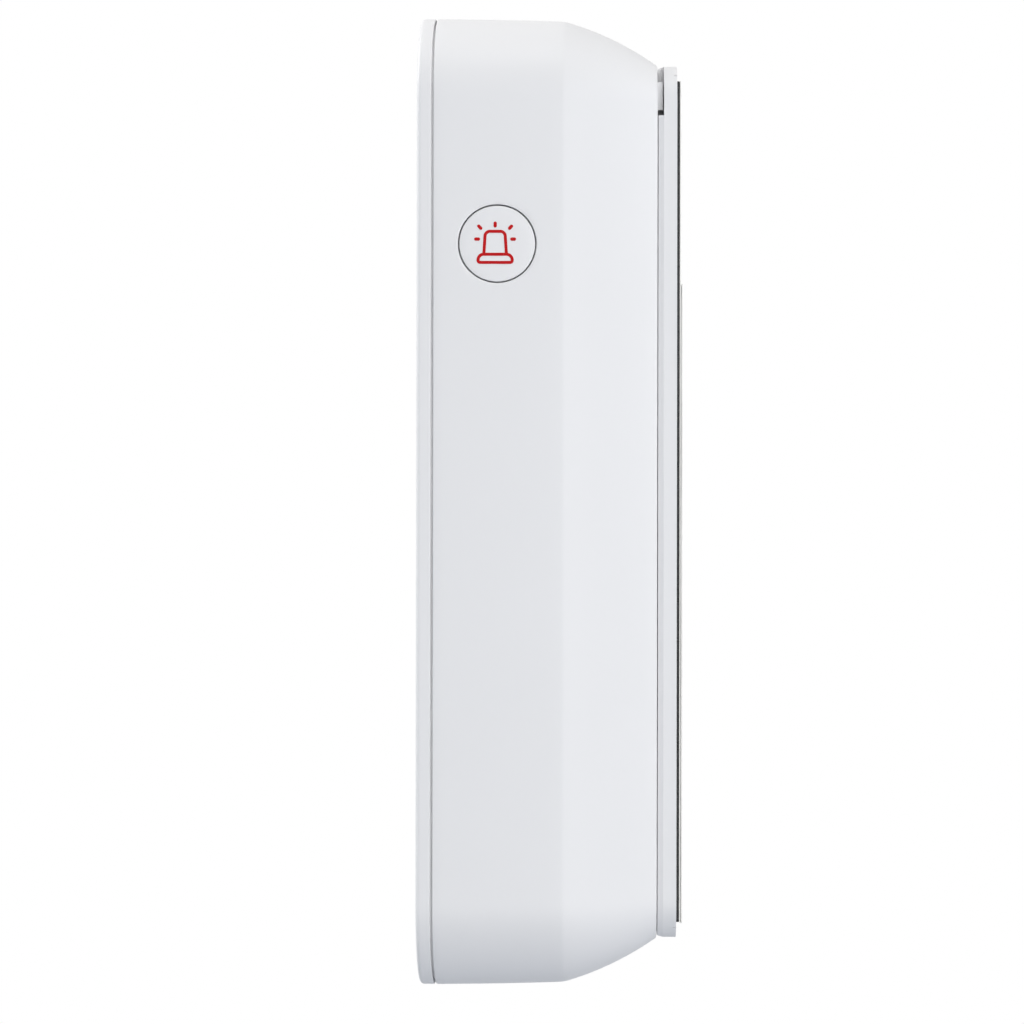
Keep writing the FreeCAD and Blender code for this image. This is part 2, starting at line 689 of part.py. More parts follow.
def make_bracket():
    """The wall plate with its sloped rim, hooks, guide notches, screw holes and tamper ramp."""
    body = new_body("wall_bracket")
    step = "(bracket_thick - rim_depth)"
    form(body, "base_plate", "0", step, [back_outline("bracket_inset")])
    rim = form(body, "sloped_rim", step, BRACKET, [back_outline("bracket_inset")])
    bind(rim, "TaperAngle", "-atan(rim_inset / rim_depth)")
    notch_x = f"({REAR_X} + wall - notch_across / 2)"
    notch_z = f"({REAR_Z} + wall - notch_tall / 2)"
    half_x, half_z = "(notch_across / 2 + wall)", "(notch_tall / 2 + wall)"
    notches = [rectangle(f"({side} * {notch_x})", notch_z, half_x, half_z) for side in (-1, 1)]
    form(body, "guide_notches", step, BRACKET, notches, cut=True)
    beds = [pad_outline(side, "slide_gap") for side in (-1, 1)]
    form(body, "adhesive_beds", "0", "pad_sunk", beds, cut=True)
    lip_low, lip_high = f"({FLOOR} + slide_gap)", f"({FLOOR} + slide_gap + hook_wall)"
    hooks = four("hook_across", "hook_up")
    half = "hook_width / 2"
    form(body, "hook_stems", step, lip_high, [rectangle(x, z, half, "hook_stem / 2") for x, z in hooks])
    lips = [rectangle(x, f"{z} + hook_lip / 2", half, "(hook_stem + hook_lip) / 2") for x, z in hooks]
    form(body, "hook_lips", lip_low, lip_high, lips)
    screws = four("screw_across", "screw_up")
    holes = [(x, z, "screw_hole") for x, z in screws]
    form(body, "wall_screw_holes", "0", step, circles=holes, cut=True)
    seats = [round_outline(x, z, "screw_seat") for x, z in screws]
    form(body, "screw_seats", step, BRACKET, seats, cut=True)
    low = "(tamper_up - tamper_round - slide_gap)"
    high = "(tamper_up + tamper_round + lift + slide_gap)"
    start = f"({BACK} - tamper_tip - stop_gap)"
    ramp = [
        (f"-{FLOOR}", low),
        (f"-{start}", low),
        (f"tamper_slope * ({high} - {low}) - {start}", high),
        (f"-{FLOOR}", high),
    ]
    half = "(tamper_round + 2 * slide_gap)"
    form(body, "tamper_ramp", f"tamper_across - {half}", f"tamper_across + {half}", [ramp], cut=True,
         plane="YZ_Plane")


def pad_outline(side, margin):
    """One adhesive strip's outline, let out by a margin; side is -1 or 1."""
    x = f"({side} * ({REAR_X} - pad_margin + slide_gap - pad_width / 2))"
    return rectangle(x, "0", f"(pad_width / 2 + {margin})", f"({REAR_Z} - pad_margin + {margin})")


def make_adhesive(side, word):
    """A foam strip in its bed, and its liner, folded back on itself as a pull tab."""
    strip = new_body(f"adhesive_{word}")
    form(strip, f"foam_{word}", "-pad_proud", "pad_sunk", [pad_outline(side, "0")])
    film = new_body(f"liner_{word}")
    end = f"({REAR_Z} - pad_margin)"
    turn = "(pad_proud + liner)"
    outside = "(pad_proud + 2 * liner + liner_fold)"
    profile = [
        ("pad_proud", f"-{end}"),
        (outside, f"-{end}"),
        (outside, "tab_end"),
        (f"{turn} + liner_fold", "tab_end"),
        (f"{turn} + liner_fold", f"liner - {end}"),
        (turn, f"liner - {end}"),
        (turn, end),
        ("pad_proud", end),
    ]
    x = f"{side} * ({REAR_X} - pad_margin + slide_gap - pad_width / 2)"
    form(film, f"film_{word}", f"{x} - pad_width / 2", f"{x} + pad_width / 2", [profile], plane="YZ_Plane")


make_housing()
make_cover()
for key_name, key_x, key_z in key_places():
    make_key(key_name, key_x, key_z)
make_mat()
make_board()
make_case_screws()
make_status_light()
make_sounder()
make_board_parts()
make_panic_button()
make_panic_switch()
make_tamper()
make_cells()
make_contacts()
make_bracket()
make_adhesive(-1, "left")
make_adhesive(1, "right")
doc.recompute()

# Every feature has to be sound before anything is written.
for item in doc.Objects:
    if "Invalid" in item.State or "Error" in item.State:
        raise RuntimeError(f"{item.Name} failed: {item.State}")
bodies = [item for item in doc.Objects if item.TypeId == "PartDesign::Body"]
for item in bodies:
    if item.Shape.isNull() or not item.Shape.isValid():
        raise RuntimeError(f"{item.Label} has no valid shape")

os.makedirs("parts", exist_ok=True)
for item in bodies:
    item.Shape.exportStep(f"parts/{item.Label}.step")
print(f"{len(bodies)} parts written")
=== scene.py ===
# %% [markdown]
# # A wall keypad for an alarm, built around its CAD frame
# This lesson dresses a small white keypad that hangs on a wall bracket. The CAD model gives every piece its
# real size and place. Here the moulded shells, the keys and the round side button are made again as smooth
# surfaces, and every other piece keeps its CAD mesh and gets a finish.

# %% Load the frame
import json
import math

import bmesh
import bpy
import numpy as np
from mathutils import Matrix, Vector
from mathutils.geometry import delaunay_2d_cdt


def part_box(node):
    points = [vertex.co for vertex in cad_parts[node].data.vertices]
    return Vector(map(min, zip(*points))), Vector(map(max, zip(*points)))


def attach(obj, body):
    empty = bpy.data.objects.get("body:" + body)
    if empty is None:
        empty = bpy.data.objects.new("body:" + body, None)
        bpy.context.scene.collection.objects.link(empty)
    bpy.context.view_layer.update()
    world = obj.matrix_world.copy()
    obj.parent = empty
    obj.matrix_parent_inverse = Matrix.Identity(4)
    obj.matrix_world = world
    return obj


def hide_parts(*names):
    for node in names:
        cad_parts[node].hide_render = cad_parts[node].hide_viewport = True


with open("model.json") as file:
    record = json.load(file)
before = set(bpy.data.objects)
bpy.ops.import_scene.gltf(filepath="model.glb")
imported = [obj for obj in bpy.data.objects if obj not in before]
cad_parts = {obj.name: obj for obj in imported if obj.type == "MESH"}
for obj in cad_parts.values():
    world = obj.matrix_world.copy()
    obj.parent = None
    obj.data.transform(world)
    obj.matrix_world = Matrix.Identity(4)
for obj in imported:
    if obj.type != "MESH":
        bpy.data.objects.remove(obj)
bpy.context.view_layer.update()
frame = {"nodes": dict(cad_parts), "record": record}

nodes = frame["nodes"]
print("CAD nodes:", len(nodes))

# %% [markdown]
# ## Depths and outlines
# The keypad is a stack of rounded rectangles over the wall, so a height over the wall is the best measure of
# depth. In the frame the wall is the plane y = 0 and the keypad lies on its negative side. The sizes below
# are in millimetres and come from the boxes of the CAD nodes. Only what a box can't tell, such as a corner
# radius, is written out.

# %% Read the main sizes from the frame
MM = 0.001


def span(node, axis):
    """The node's lowest and highest place along an axis, in millimetres."""
    low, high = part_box(node)
    return low[axis] / MM, high[axis] / MM


def heights(node):
    """The node's lowest and highest place over the wall, in millimetres."""
    low, high = span(node, 1)
    return -high, -low


CASE_X = span("front_cover", 0)[1]
CASE_Z = span("front_cover", 2)[1]
CASE_CORNER = 14.0
FACE = heights("front_cover")[1] - 0.1
RIM = heights("rear_housing")[1] + 0.1
COVER = RIM + 0.3
BACK = 3.0
CREASE = 17.3
WALL = 2.2
REAR_INSET = CASE_X - span("wall_bracket", 0)[1] - 0.1
print("case", round(2 * CASE_X, 2), "x", round(2 * CASE_Z, 2), "mm, face", round(FACE, 2), "mm over the wall")

# %% [markdown]
# ## From arrays to meshes
# A mesh is made from an array of points and arrays of faces. Most surfaces here are grids: the rows follow a
# profile and the columns run round an outline. One helper turns a grid into quads. Another joins patches,
# merges the points that they share and turns the faces outwards.

# %% Grid and mesh helpers


def grid_faces(rows, columns, closed=True):
    """Quads between neighbouring rows and columns of a grid of points."""
    row = np.arange(rows - 1)[:, None] * columns
    column = np.arange(columns if closed else columns - 1)[None, :]
    after = (column + 1) % columns
    quads = np.stack([row + column, row + after, row + columns + after, row + columns + column], axis=-1)
    return quads.reshape(-1, 4)


def to_frame(points):
    """Points (across, height over the wall, up) in millimetres as frame coordinates in metres."""
    points = np.asarray(points, float)
    return np.stack([points[..., 0], -points[..., 1], points[..., 2]], axis=-1) * MM


def make_piece(name, patches, smooth_angle=35.0):
    """A mesh object from patches (points, faces); shared points are merged and faces turned outwards."""
    points = np.concatenate([np.asarray(p, float).reshape(-1, 3) for p, _ in patches])
    starts = np.cumsum([0] + [len(np.asarray(p).reshape(-1, 3)) for p, _ in patches])
    _, first, merged = np.unique(np.round(points, 3), axis=0, return_index=True, return_inverse=True)
    merged = merged.reshape(-1)
    faces = []
    for (_, patch_faces), start in zip(patches, starts):
        for corners in merged[np.asarray(patch_faces) + start].tolist():
            kept = [c for c, after in zip(corners, corners[1:] + corners[:1]) if c != after]
            if len(kept) > 2:
                faces.append(kept)
    data = bpy.data.meshes.new(name)
    data.from_pydata(to_frame(points[first]), [], faces)
    data.validate()
    shell = bmesh.new()
    shell.from_mesh(data)
    bmesh.ops.recalc_face_normals(shell, faces=shell.faces)
    open_edges = sum(1 for edge in shell.edges if not edge.is_manifold)
    shell.to_mesh(data)
    shell.free()
    data.shade_smooth()
    data.set_sharp_from_angle(angle=math.radians(smooth_angle))
    piece = bpy.data.objects.new(name, data)
    bpy.context.scene.collection.objects.link(piece)
    print(f"{name}: {len(data.vertices)} points, {len(data.polygons)} faces, {open_edges} open edges")
    return piece


# %% [markdown]
# ## Rounded rectangles and profiles
# A rounded rectangle is four quarter circles joined by straight sides. Setting it inwards keeps the centres
# of the quarter circles and only shortens their radius, so one outline serves for every layer of the case.
# A profile is a list of pairs: how far inwards, and how high over the wall.

# %% Outline helpers


class Outline:
    """A rounded rectangle about (x, z). A ring is its closed line of points, set inwards by a distance."""

    def __init__(self, half_x, half_z, corner, x=0.0, z=0.0, steps=16, extra=()):
        """Each corner has steps + 1 points; extra gives more heights along the right-hand side."""
        turn = np.linspace(0, math.pi / 2, steps + 1)
        angle = (turn + np.arange(4)[:, None] * math.pi / 2).reshape(-1)
        sides = np.repeat([(1, 1), (-1, 1), (-1, -1), (1, -1)], steps + 1, axis=0)
        middles = np.array([x, z]) + sides * (half_x - corner, half_z - corner)
        directions = np.stack([np.cos(angle), np.sin(angle)], axis=-1)
        extra = np.asarray(extra, float)
        side = np.stack([np.full(len(extra), x + half_x - corner), extra], axis=-1)
        self.centres = np.concatenate([middles, side])
        self.directions = np.concatenate([directions, np.tile((1.0, 0.0), (len(extra), 1))])
        self.corner = corner

    def ring(self, inset=0.0):
        """The points (x, z) of the outline, set inwards."""
        return self.centres + (self.corner - inset) * self.directions

    def swept(self, profile):
        """A patch: one ring for each (inset, height) of the profile, joined by quads."""
        profile = np.asarray(profile, float)
        rings = self.centres + (self.corner - profile[:, 0])[:, None, None] * self.directions
        level = np.broadcast_to(profile[:, 1][:, None], rings.shape[:2])
        grid = np.stack([rings[..., 0], level, rings[..., 1]], axis=-1)
        return grid.reshape(-1, 3), grid_faces(*grid.shape[:2])


def rounded(start, end, corner, steps=6):
    """Profile points of a quarter round from start to end that cuts off a square corner."""
    turn = np.linspace(0, math.pi / 2, steps + 1)[:, None]
    start, end, corner = (np.asarray(point, float) for point in (start, end, corner))
    middle = start + end - corner
    return (middle + (start - middle) * np.cos(turn) + (end - middle) * np.sin(turn)).tolist()


def at_height(ring, height):
    """A ring (x, z) as points (across, height, up)."""
    return np.stack([ring[:, 0], np.full(len(ring), height), ring[:, 1]], axis=-1)


def inside(points, ring):
    """Which of the points lie within a closed ring, by counting the sides that a ray crosses."""
    after = np.roll(ring, -1, axis=0)
    crosses = (ring[:, 1] > points[:, None, 1]) != (after[:, 1] > points[:, None, 1])
    rise = np.where(after[:, 1] == ring[:, 1], 1.0, after[:, 1] - ring[:, 1])
    where = ring[:, 0] + (points[:, None, 1] - ring[:, 1]) * (after[:, 0] - ring[:, 0]) / rise
    return (crosses & (points[:, None, 0] < where)).sum(axis=1) % 2 == 1


def membrane(outer, holes=(), plane=(0, 2)):
    """A patch of triangles between a closed line of points and the closed lines of its holes."""
    rings = [outer, *holes]
    points = np.concatenate(rings)
    flat = points[:, plane]
    sizes = [len(ring) for ring in rings]
    starts = np.cumsum([0] + sizes[:-1])
    edges = np.concatenate([start + np.stack([np.arange(n), (np.arange(n) + 1) % n], axis=-1)
                            for start, n in zip(starts, sizes)])
    spots, _, triangles, origin, _, _ = delaunay_2d_cdt(
        [Vector(spot) for spot in flat.tolist()], edges.tolist(), [], 0, 1e-6, True)
    source = np.array([found[0] for found in origin])
    triangles = source[np.array(triangles)]
    middles = flat[triangles].mean(axis=1)
    keep = inside(middles, flat[:sizes[0]])
    for ring in holes:
        keep &= ~inside(middles, ring[:, plane])
    return points, triangles[keep]


# %% [markdown]
# ## The rear housing
# The deep shell was moulded in one piece. Its side stands almost straight, with a draft that grows a little
# towards the wall, then turns at a soft crease into a curved bevel. The profile is one curve of insets
# against heights, swept round the outline. The hole for the side button is a patch of its own: the inner
# ring is a circle, the outer ring a square of grid points, and the rings between blend the two.

# %% Profile of the housing
BUTTON_AT = sum(heights("panic_button")) / 2
BUTTON_UP = sum(span("panic_button", 2)) / 2
HOLE_R = 5.91
PATCH = 8.2
PATCH_STEPS = 16
BEVEL_R = 48.0
CREASE_INSET = 0.45
SOFT = 0.09


def housing_inset(height):
    """How far the outer surface lies inside the rim's outline, at a height over the wall."""
    height = np.asarray(height, float)
    down = np.clip((RIM - height) / (RIM - CREASE), 0, None)
    side = CREASE_INSET * (0.35 * down + 0.65 * down ** 2)
    chord = np.array([REAR_INSET - CREASE_INSET, CREASE - BACK])
    sink = math.sqrt(BEVEL_R ** 2 - chord @ chord / 4)
    across = CREASE_INSET + chord[0] / 2 + chord[1] / math.hypot(*chord) * sink
    level = CREASE - chord[1] / 2 + chord[0] / math.hypot(*chord) * sink
    bevel = across - np.sqrt(np.clip(BEVEL_R ** 2 - (height - level) ** 2, 0, None))
    return (side + bevel + np.hypot(side - bevel, SOFT)) / 2


patch_heights = BUTTON_AT + PATCH * np.linspace(1, -1, PATCH_STEPS + 1)
patch_ups = BUTTON_UP + PATCH * np.linspace(-1, 1, PATCH_STEPS + 1)
case = Outline(CASE_X, CASE_Z, CASE_CORNER, steps=20, extra=patch_ups)
RIM_ROUND, REAR_ROUND = 0.2, 0.2
rim_edge = rounded((RIM_ROUND, RIM), (0, RIM - RIM_ROUND), (0, RIM), 4)
lower = np.concatenate([np.linspace(patch_heights[-1], CREASE + 0.7, 3)[1:],
                        np.linspace(CREASE + 0.7, CREASE - 0.7, 9)[1:],
                        np.linspace(CREASE - 0.7, BACK + REAR_ROUND, 14)[1:]])
side = [(float(housing_inset(h)), h) for h in np.concatenate([patch_heights, lower])]
end = float(housing_inset(BACK))
rear_edge = rounded(side[-1], (end + REAR_ROUND, BACK), (end, BACK), 4)[1:]
profile = rim_edge + side + rear_edge
print("inset at the crease", round(float(housing_inset(CREASE)), 3), "and at the back", round(end, 3))

# %% [markdown]
# ### Joining the new skin to the inner faces
# The inner walls, the bosses and the battery bay are hidden in use but real, so they are copied from the CAD
# mesh. The outer faces of that mesh are left out. What remains ends in three closed lines of points: round
# the rim, round the back and round the button's hole. A thin membrane of triangles joins each line to the
# new skin, so the whole housing is one closed solid. The lugs on its back, which slide into the bracket's
# notches, are moved down by half a millimetre, to where the photograph shows them.

# %% Build the housing


def cad_mesh(node):
    """The CAD node's points in (across, height, up) millimetres, merged, and its triangles."""
    data = nodes[node].data
    points = np.zeros(len(data.vertices) * 3)
    data.vertices.foreach_get("co", points)
    points = points.reshape(-1, 3)[:, (0, 1, 2)] * (1, -1, 1) / MM
    data.calc_loop_triangles()
    triangles = np.zeros(len(data.loop_triangles) * 3, int)
    data.loop_triangles.foreach_get("vertices", triangles)
    _, first, merged = np.unique(np.round(points, 3), axis=0, return_index=True, return_inverse=True)
    triangles = merged.reshape(-1)[triangles].reshape(-1, 3)
    solid = (triangles != np.roll(triangles, 1, axis=1)).all(axis=1)
    return points[first], triangles[solid]


def border(triangles):
    """The points of the edges that only one triangle uses."""
    edges = np.sort(triangles[:, [[0, 1], [1, 2], [2, 0]]].reshape(-1, 2), axis=1)
    pairs, uses = np.unique(edges, axis=0, return_counts=True)
    return np.unique(pairs[uses == 1])


def case_inset(points):
    """How far points lie inside the case's outline, as seen from the front."""
    away = np.abs(points[:, (0, 2)]) - (CASE_X - CASE_CORNER, CASE_Z - CASE_CORNER)
    beyond = np.clip(away, 0, None)
    return CASE_CORNER - np.where((away > 0).any(axis=1), np.hypot(*beyond.T), away.max(axis=1))


def around(points, plane):
    """The same points in order round their middle."""
    flat = points[:, plane] - points[:, plane].mean(axis=0)
    return points[np.argsort(np.arctan2(flat[:, 1], flat[:, 0]))]


points, triangles = cad_mesh("rear_housing")
lug = (np.abs(points[:, 0]) > 36.6) & (points[:, 1] < BACK + 0.01)
for level, new in ((60.7, 60.3), (65.2, 64.55)):
    at = lug & (np.abs(np.abs(points[:, 2]) - level) < 0.01)
    points[at, 2] = np.sign(points[at, 2]) * new
corners = points[triangles]
deep = case_inset(corners.reshape(-1, 3)).reshape(-1, 3) - housing_inset(corners[..., 1])
outer = (np.abs(deep) < 0.12).all(axis=1)
kept = triangles[~outer]
edge = border(kept)
rim_line = edge[points[edge, 1] > RIM - 0.3]
back_line = edge[points[edge, 1] < BACK + 0.01]
hole_line = np.setdiff1d(edge, np.concatenate([rim_line, back_line]))
print("border points: rim", len(rim_line), "back", len(back_line), "hole", len(hole_line))
SHIFT = 0.35
for line in (rim_line, back_line):
    flat = points[line][:, (0, 2)]
    centre = np.clip(flat, (-CASE_X + CASE_CORNER, -CASE_Z + CASE_CORNER), (CASE_X - CASE_CORNER, CASE_Z - CASE_CORNER))
    away = flat - centre
    reach = np.hypot(*away.T)[:, None]
    points[line[:, None], [0, 2]] = centre + away * (reach - SHIFT) / reach
points[hole_line, 0] -= SHIFT

swept_points, swept_quads = case.swept(profile)
grid = swept_points.reshape(len(profile), -1, 3)
first_row = len(rim_edge)
first_column = len(case.centres) - len(patch_ups)
quad_row, quad_column = np.divmod(np.arange(len(swept_quads)), len(case.centres))
in_patch = ((quad_row >= first_row) & (quad_row < first_row + PATCH_STEPS)
            & (quad_column >= first_column) & (quad_column < first_column + PATCH_STEPS))
square = grid[first_row:first_row + PATCH_STEPS + 1, first_column:]
loop = np.concatenate([square[0, :-1], square[:-1, -1], square[-1, :0:-1], square[:0:-1, 0]])
direction = loop[:, 1:] - (BUTTON_AT, BUTTON_UP)
angle = np.arctan2(direction[:, 1], direction[:, 0])
HOLE_ROUND = 0.12
circle = np.array([BUTTON_AT, BUTTON_UP]) + (HOLE_R + HOLE_ROUND) * np.stack([np.cos(angle), np.sin(angle)], axis=-1)
blend = np.linspace(0, 1, 8)[:, None, None]
flat = loop[:, 1:] * (1 - blend) + circle * blend
patch = np.concatenate([CASE_X - housing_inset(flat[..., :1]), flat], axis=-1)
lip = []
for drop, reach in rounded((0, HOLE_ROUND), (HOLE_ROUND, 0.02), (0, 0.02), 3)[1:]:
    ring = np.array([BUTTON_AT, BUTTON_UP]) + (HOLE_R + reach) * np.stack([np.cos(angle), np.sin(angle)], axis=-1)
    lip.append(np.concatenate([CASE_X - housing_inset(ring[:, :1]) - drop, ring], axis=-1))
patch = np.concatenate([patch, lip])
housing = make_piece("housing_shell", [
    (swept_points, swept_quads[~in_patch]),
    (patch.reshape(-1, 3), grid_faces(*patch.shape[:2])),
    membrane(grid[0], [around(points[rim_line], (0, 2))]),
    membrane(grid[-1], [around(points[back_line], (0, 2))]),
    membrane(around(points[hole_line], (1, 2)), [patch[-1]], (1, 2)),
    (points, kept),
])
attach(housing, "keypad")
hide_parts("rear_housing")

# %% [markdown]
# ## The front cover
# The cover is a plate with real openings for the keys, the status window and the sound slots. Its face is one
# membrane of triangles, and each opening has a small round at the face, swept round its own outline. At the
# rim the plate steps down inside the seam, so the seam is a shallow groove and not a slit into the dark. A
# narrow flat band goes round each rounded edge, so that the smooth shading of the round ends there.
# Behind the plate stand four ribs, which locate it in the housing, and four posts for the case screws.

# %% Places of the openings
LIP = 1.0
KEY_CORNER = 2.4
KEY_GAP = 0.25
key_names = [name for name in nodes if name.startswith("key_") and name != "key_mat"]
key_half = tuple(np.ptp(span("key_0", axis)) / 2 - LIP for axis in (0, 2))
key_at = {name: (sum(span(name, 0)) / 2, sum(span(name, 2)) / 2) for name in key_names}
LIGHT_UP = sum(span("status_window", 2)) / 2
LIGHT_HALF = (15.0, 1.1)
SLOT_UP = sum(span("sounder", 2)) / 2
SLOT_HALF = (0.6, 4.5)
SLOT_STEP = 3.2
openings = [Outline(key_half[0] + KEY_GAP, key_half[1] + KEY_GAP, KEY_CORNER + KEY_GAP, *place, 8)
            for place in key_at.values()]
openings.append(Outline(*LIGHT_HALF, 0.8, 0.0, LIGHT_UP, 6))
openings += [Outline(*SLOT_HALF, 0.55, step * SLOT_STEP, SLOT_UP, 6) for step in range(-2, 3)]
print(len(key_names), "keys of", np.round(key_half, 2) * 2, "mm,", len(openings), "openings")

# %% Build the cover
EDGE_ROUND = 0.65
OPENING_ROUND = 0.2
RIB_LOW, RIB_HALF = RIM - 2.3, 0.6
RIB_AT = WALL + 0.15 + RIB_HALF
POST_R, BORE_R = 3.2, 1.45
POST_LOW = heights("front_cover")[0]

case = Outline(CASE_X, CASE_Z, CASE_CORNER, steps=20)
FLAT = 0.3
skin = [(EDGE_ROUND + FLAT, FACE)] + rounded((EDGE_ROUND, FACE), (0, FACE - EDGE_ROUND), (0, FACE), 8)
skin += [(0, FACE - EDGE_ROUND - 0.15), (0, COVER + 0.25)]
skin += rounded((0, COVER + 0.12), (0.12, COVER), (0, COVER), 4)
skin += [(0.75, COVER), (0.75, RIM + 0.04), (1.2, RIM + 0.04), (1.2, COVER)]
patches = [case.swept(skin)]
behind = []
for side in (-1, 1):
    upright = Outline(RIB_HALF, CASE_Z - CASE_CORNER, 0.15, side * (CASE_X - RIB_AT), 0.0, 3)
    level = Outline(CASE_X - CASE_CORNER, RIB_HALF, 0.15, 0.0, side * (CASE_Z - RIB_AT), 3)
    behind += [(rib, RIB_LOW, None) for rib in (upright, level)]
    for up in (-57.0, 57.0):
        post = Outline(POST_R, POST_R, POST_R - 0.01, side * 35.0, up, 8)
        bore = Outline(BORE_R, BORE_R, BORE_R - 0.01, side * 35.0, up, 8)
        behind.append((post, POST_LOW, bore))
for solid, low, bore in behind:
    patches.append(solid.swept([(0, COVER), (0, low + 0.1), (0.1, low)]))
    if bore is None:
        patches.append(membrane(at_height(solid.ring(0.1), low)))
    else:
        patches.append(membrane(at_height(solid.ring(0.1), low), [at_height(bore.ring(), low)]))
        patches.append(bore.swept([(0, low), (0, COVER)]))
        patches.append(membrane(at_height(bore.ring(), COVER)))
patches += [opening.swept([(-OPENING_ROUND - FLAT, FACE)] + rounded((-OPENING_ROUND, FACE), (0, FACE - OPENING_ROUND), (0, FACE), 4)
                          + [(0, COVER)]) for opening in openings]
patches.append(membrane(at_height(case.ring(EDGE_ROUND + FLAT), FACE),
                        [at_height(opening.ring(-OPENING_ROUND - FLAT), FACE) for opening in openings]))
patches.append(membrane(at_height(case.ring(1.2), COVER),
                        [at_height(opening.ring(), COVER) for opening in openings]
                        + [at_height(solid.ring(), COVER) for solid, _, _ in behind]))
cover = make_piece("cover_shell", patches)
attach(cover, "keypad")
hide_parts("front_cover")

# %% [markdown]
# ## The keys and the status window
# Each key is a cap with rounded corners, a rounded edge and a face that dips slightly in the middle, so the
# finger finds it. The face is a set of rings that shrink towards the key's middle line, and the dip falls
# along a parabola. Behind the plate the cap widens into a lip that keeps it in, and a plunger reaches for the
# silicone mat. The status window is made the same way, with a flat face and no plunger.

# %% Build the keys and the window
KEY_ROUND = 0.5
KEY_DIP = 0.18
KEY_TOP = FACE - 0.05
LIP_HIGH = COVER - 0.3
LIP_LOW = LIP_HIGH - 0.9


def dished(ring, middle, top, dip, rows=10):
    """Rings from an outline to its middle line; the height is top less dip times (1 - (1 - part) squared)."""
    part = np.linspace(0, 1, rows)[:, None, None]
    flat = ring * (1 - part) + middle * part
    level = np.broadcast_to(top - dip * (1 - (1 - part) ** 2), flat.shape[:2] + (1,))
    grid = np.concatenate([flat[..., :1], level, flat[..., 1:]], axis=-1)
    return grid.reshape(-1, 3), grid_faces(*grid.shape[:2])


def make_cap(name, half, corner, place, top, edge, dip, stem):
    """A cap in its opening with a lip behind the plate; stem is (half size, lowest height)."""
    cap = Outline(*half, corner, *place, 8)
    lip = Outline(half[0] + LIP, half[1] + LIP, 0.4, *place, 3)
    foot = Outline(stem[0][0], stem[0][1], 0.3, *place, 3)
    reach = half[0] - half[1]
    ring = cap.ring(edge)
    middle = np.stack([np.clip(ring[:, 0], place[0] - reach, place[0] + reach),
                       np.full(len(ring), place[1])], axis=-1)
    return make_piece(name, [
        dished(ring, middle, top, dip),
        cap.swept(rounded((edge, top), (0, top - edge), (0, top), 6) + [(0, LIP_HIGH)]),
        membrane(at_height(lip.ring(), LIP_HIGH), [at_height(cap.ring(), LIP_HIGH)]),
        lip.swept([(0, LIP_HIGH), (0, LIP_LOW)]),
        membrane(at_height(lip.ring(), LIP_LOW), [at_height(foot.ring(), LIP_LOW)]),
        foot.swept([(0, LIP_LOW), (0, stem[1])]),
        membrane(at_height(foot.ring(), stem[1])),
    ])


caps = {}
for name, place in key_at.items():
    stem = ((2.2, 2.2), heights(name)[0])
    caps[name] = make_cap(f"{name}_cap", key_half, KEY_CORNER, place, KEY_TOP, KEY_ROUND, KEY_DIP, stem)
    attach(caps[name], name)
    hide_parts(name)
bar_half = (LIGHT_HALF[0] - 0.15, LIGHT_HALF[1] - 0.15)
window = make_cap("light_bar", bar_half, 0.73, (0.0, LIGHT_UP), KEY_TOP, 0.2, 0.0,
                  (bar_half, heights("status_window")[0]))
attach(window, "keypad")
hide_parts("status_window")

# %% [markdown]
# ## The side button
# The panic button is a disc that lies flush in the side wall, so its face follows the wall's slope. It is a
# figure of revolution about an axis across the keypad: rings of growing radius on the face, a small round at
# the edge, and steps back to the stem that presses the switch.

# %% Build the side button
BUTTON_R = 5.73
BUTTON_ROUND = 0.15
turn = np.linspace(0, 2 * math.pi, 96, endpoint=False)
circle = np.stack([np.cos(turn), np.sin(turn)], axis=-1)
SEAT = CASE_X - WALL - 0.4
STEM_END = span("panic_button", 0)[0]


def side_wall(heights_over_wall):
    """The place across the keypad of the right side wall's surface."""
    return CASE_X - housing_inset(heights_over_wall)


face = [(0.0, 0.0), (2.0, 0.0), (4.0, 0.0)]
face += rounded((BUTTON_R - BUTTON_ROUND, 0), (BUTTON_R, BUTTON_ROUND), (BUTTON_R, 0), 6)
rings = [(BUTTON_AT, BUTTON_UP) + radius * circle for radius, _ in face]
grid = [np.column_stack([side_wall(ring[:, 0]) - drop, ring]) for ring, (_, drop) in zip(rings, face)]
steps = [(BUTTON_R, SEAT), (7.0, SEAT), (7.0, SEAT - 0.9), (1.45, SEAT - 0.9), (1.45, STEM_END), (0.0, STEM_END)]
rings = [(BUTTON_AT, BUTTON_UP) + radius * circle for radius, _ in steps]
grid += [np.column_stack([np.full(len(circle), level), ring]) for ring, (_, level) in zip(rings, steps)]
grid = np.array(grid)
button = make_piece("side_button", [(grid.reshape(-1, 3), grid_faces(*grid.shape[:2]))])
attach(button, "panic_button")
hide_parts("panic_button")

# %% [markdown]
# ## Printed signs
# The signs on the keys and the side button are pad printed: a film of ink with an even stroke and round ends.
# A stroke is drawn on a flat pad as the line's two sides, set off by half the stroke's width, and a half turn
# of points at each end. A closed line gives two rings instead. At a sharp corner the line is cut, and the
# round ends of the two runs cover each other. A small function then lays the flat pad on the key's dip or on
# the side wall, and the film stands a few hundredths of a millimetre over it.

# %% Stroke helpers
FILM = 0.03


def arc(x, z, across, up, start, end, steps=20):
    """Points on an ellipse about (x, z) from one angle to another, in degrees."""
    angle = np.radians(np.linspace(start, end, steps + 1))
    return np.stack([x + across * np.cos(angle), z + up * np.sin(angle)], axis=-1)


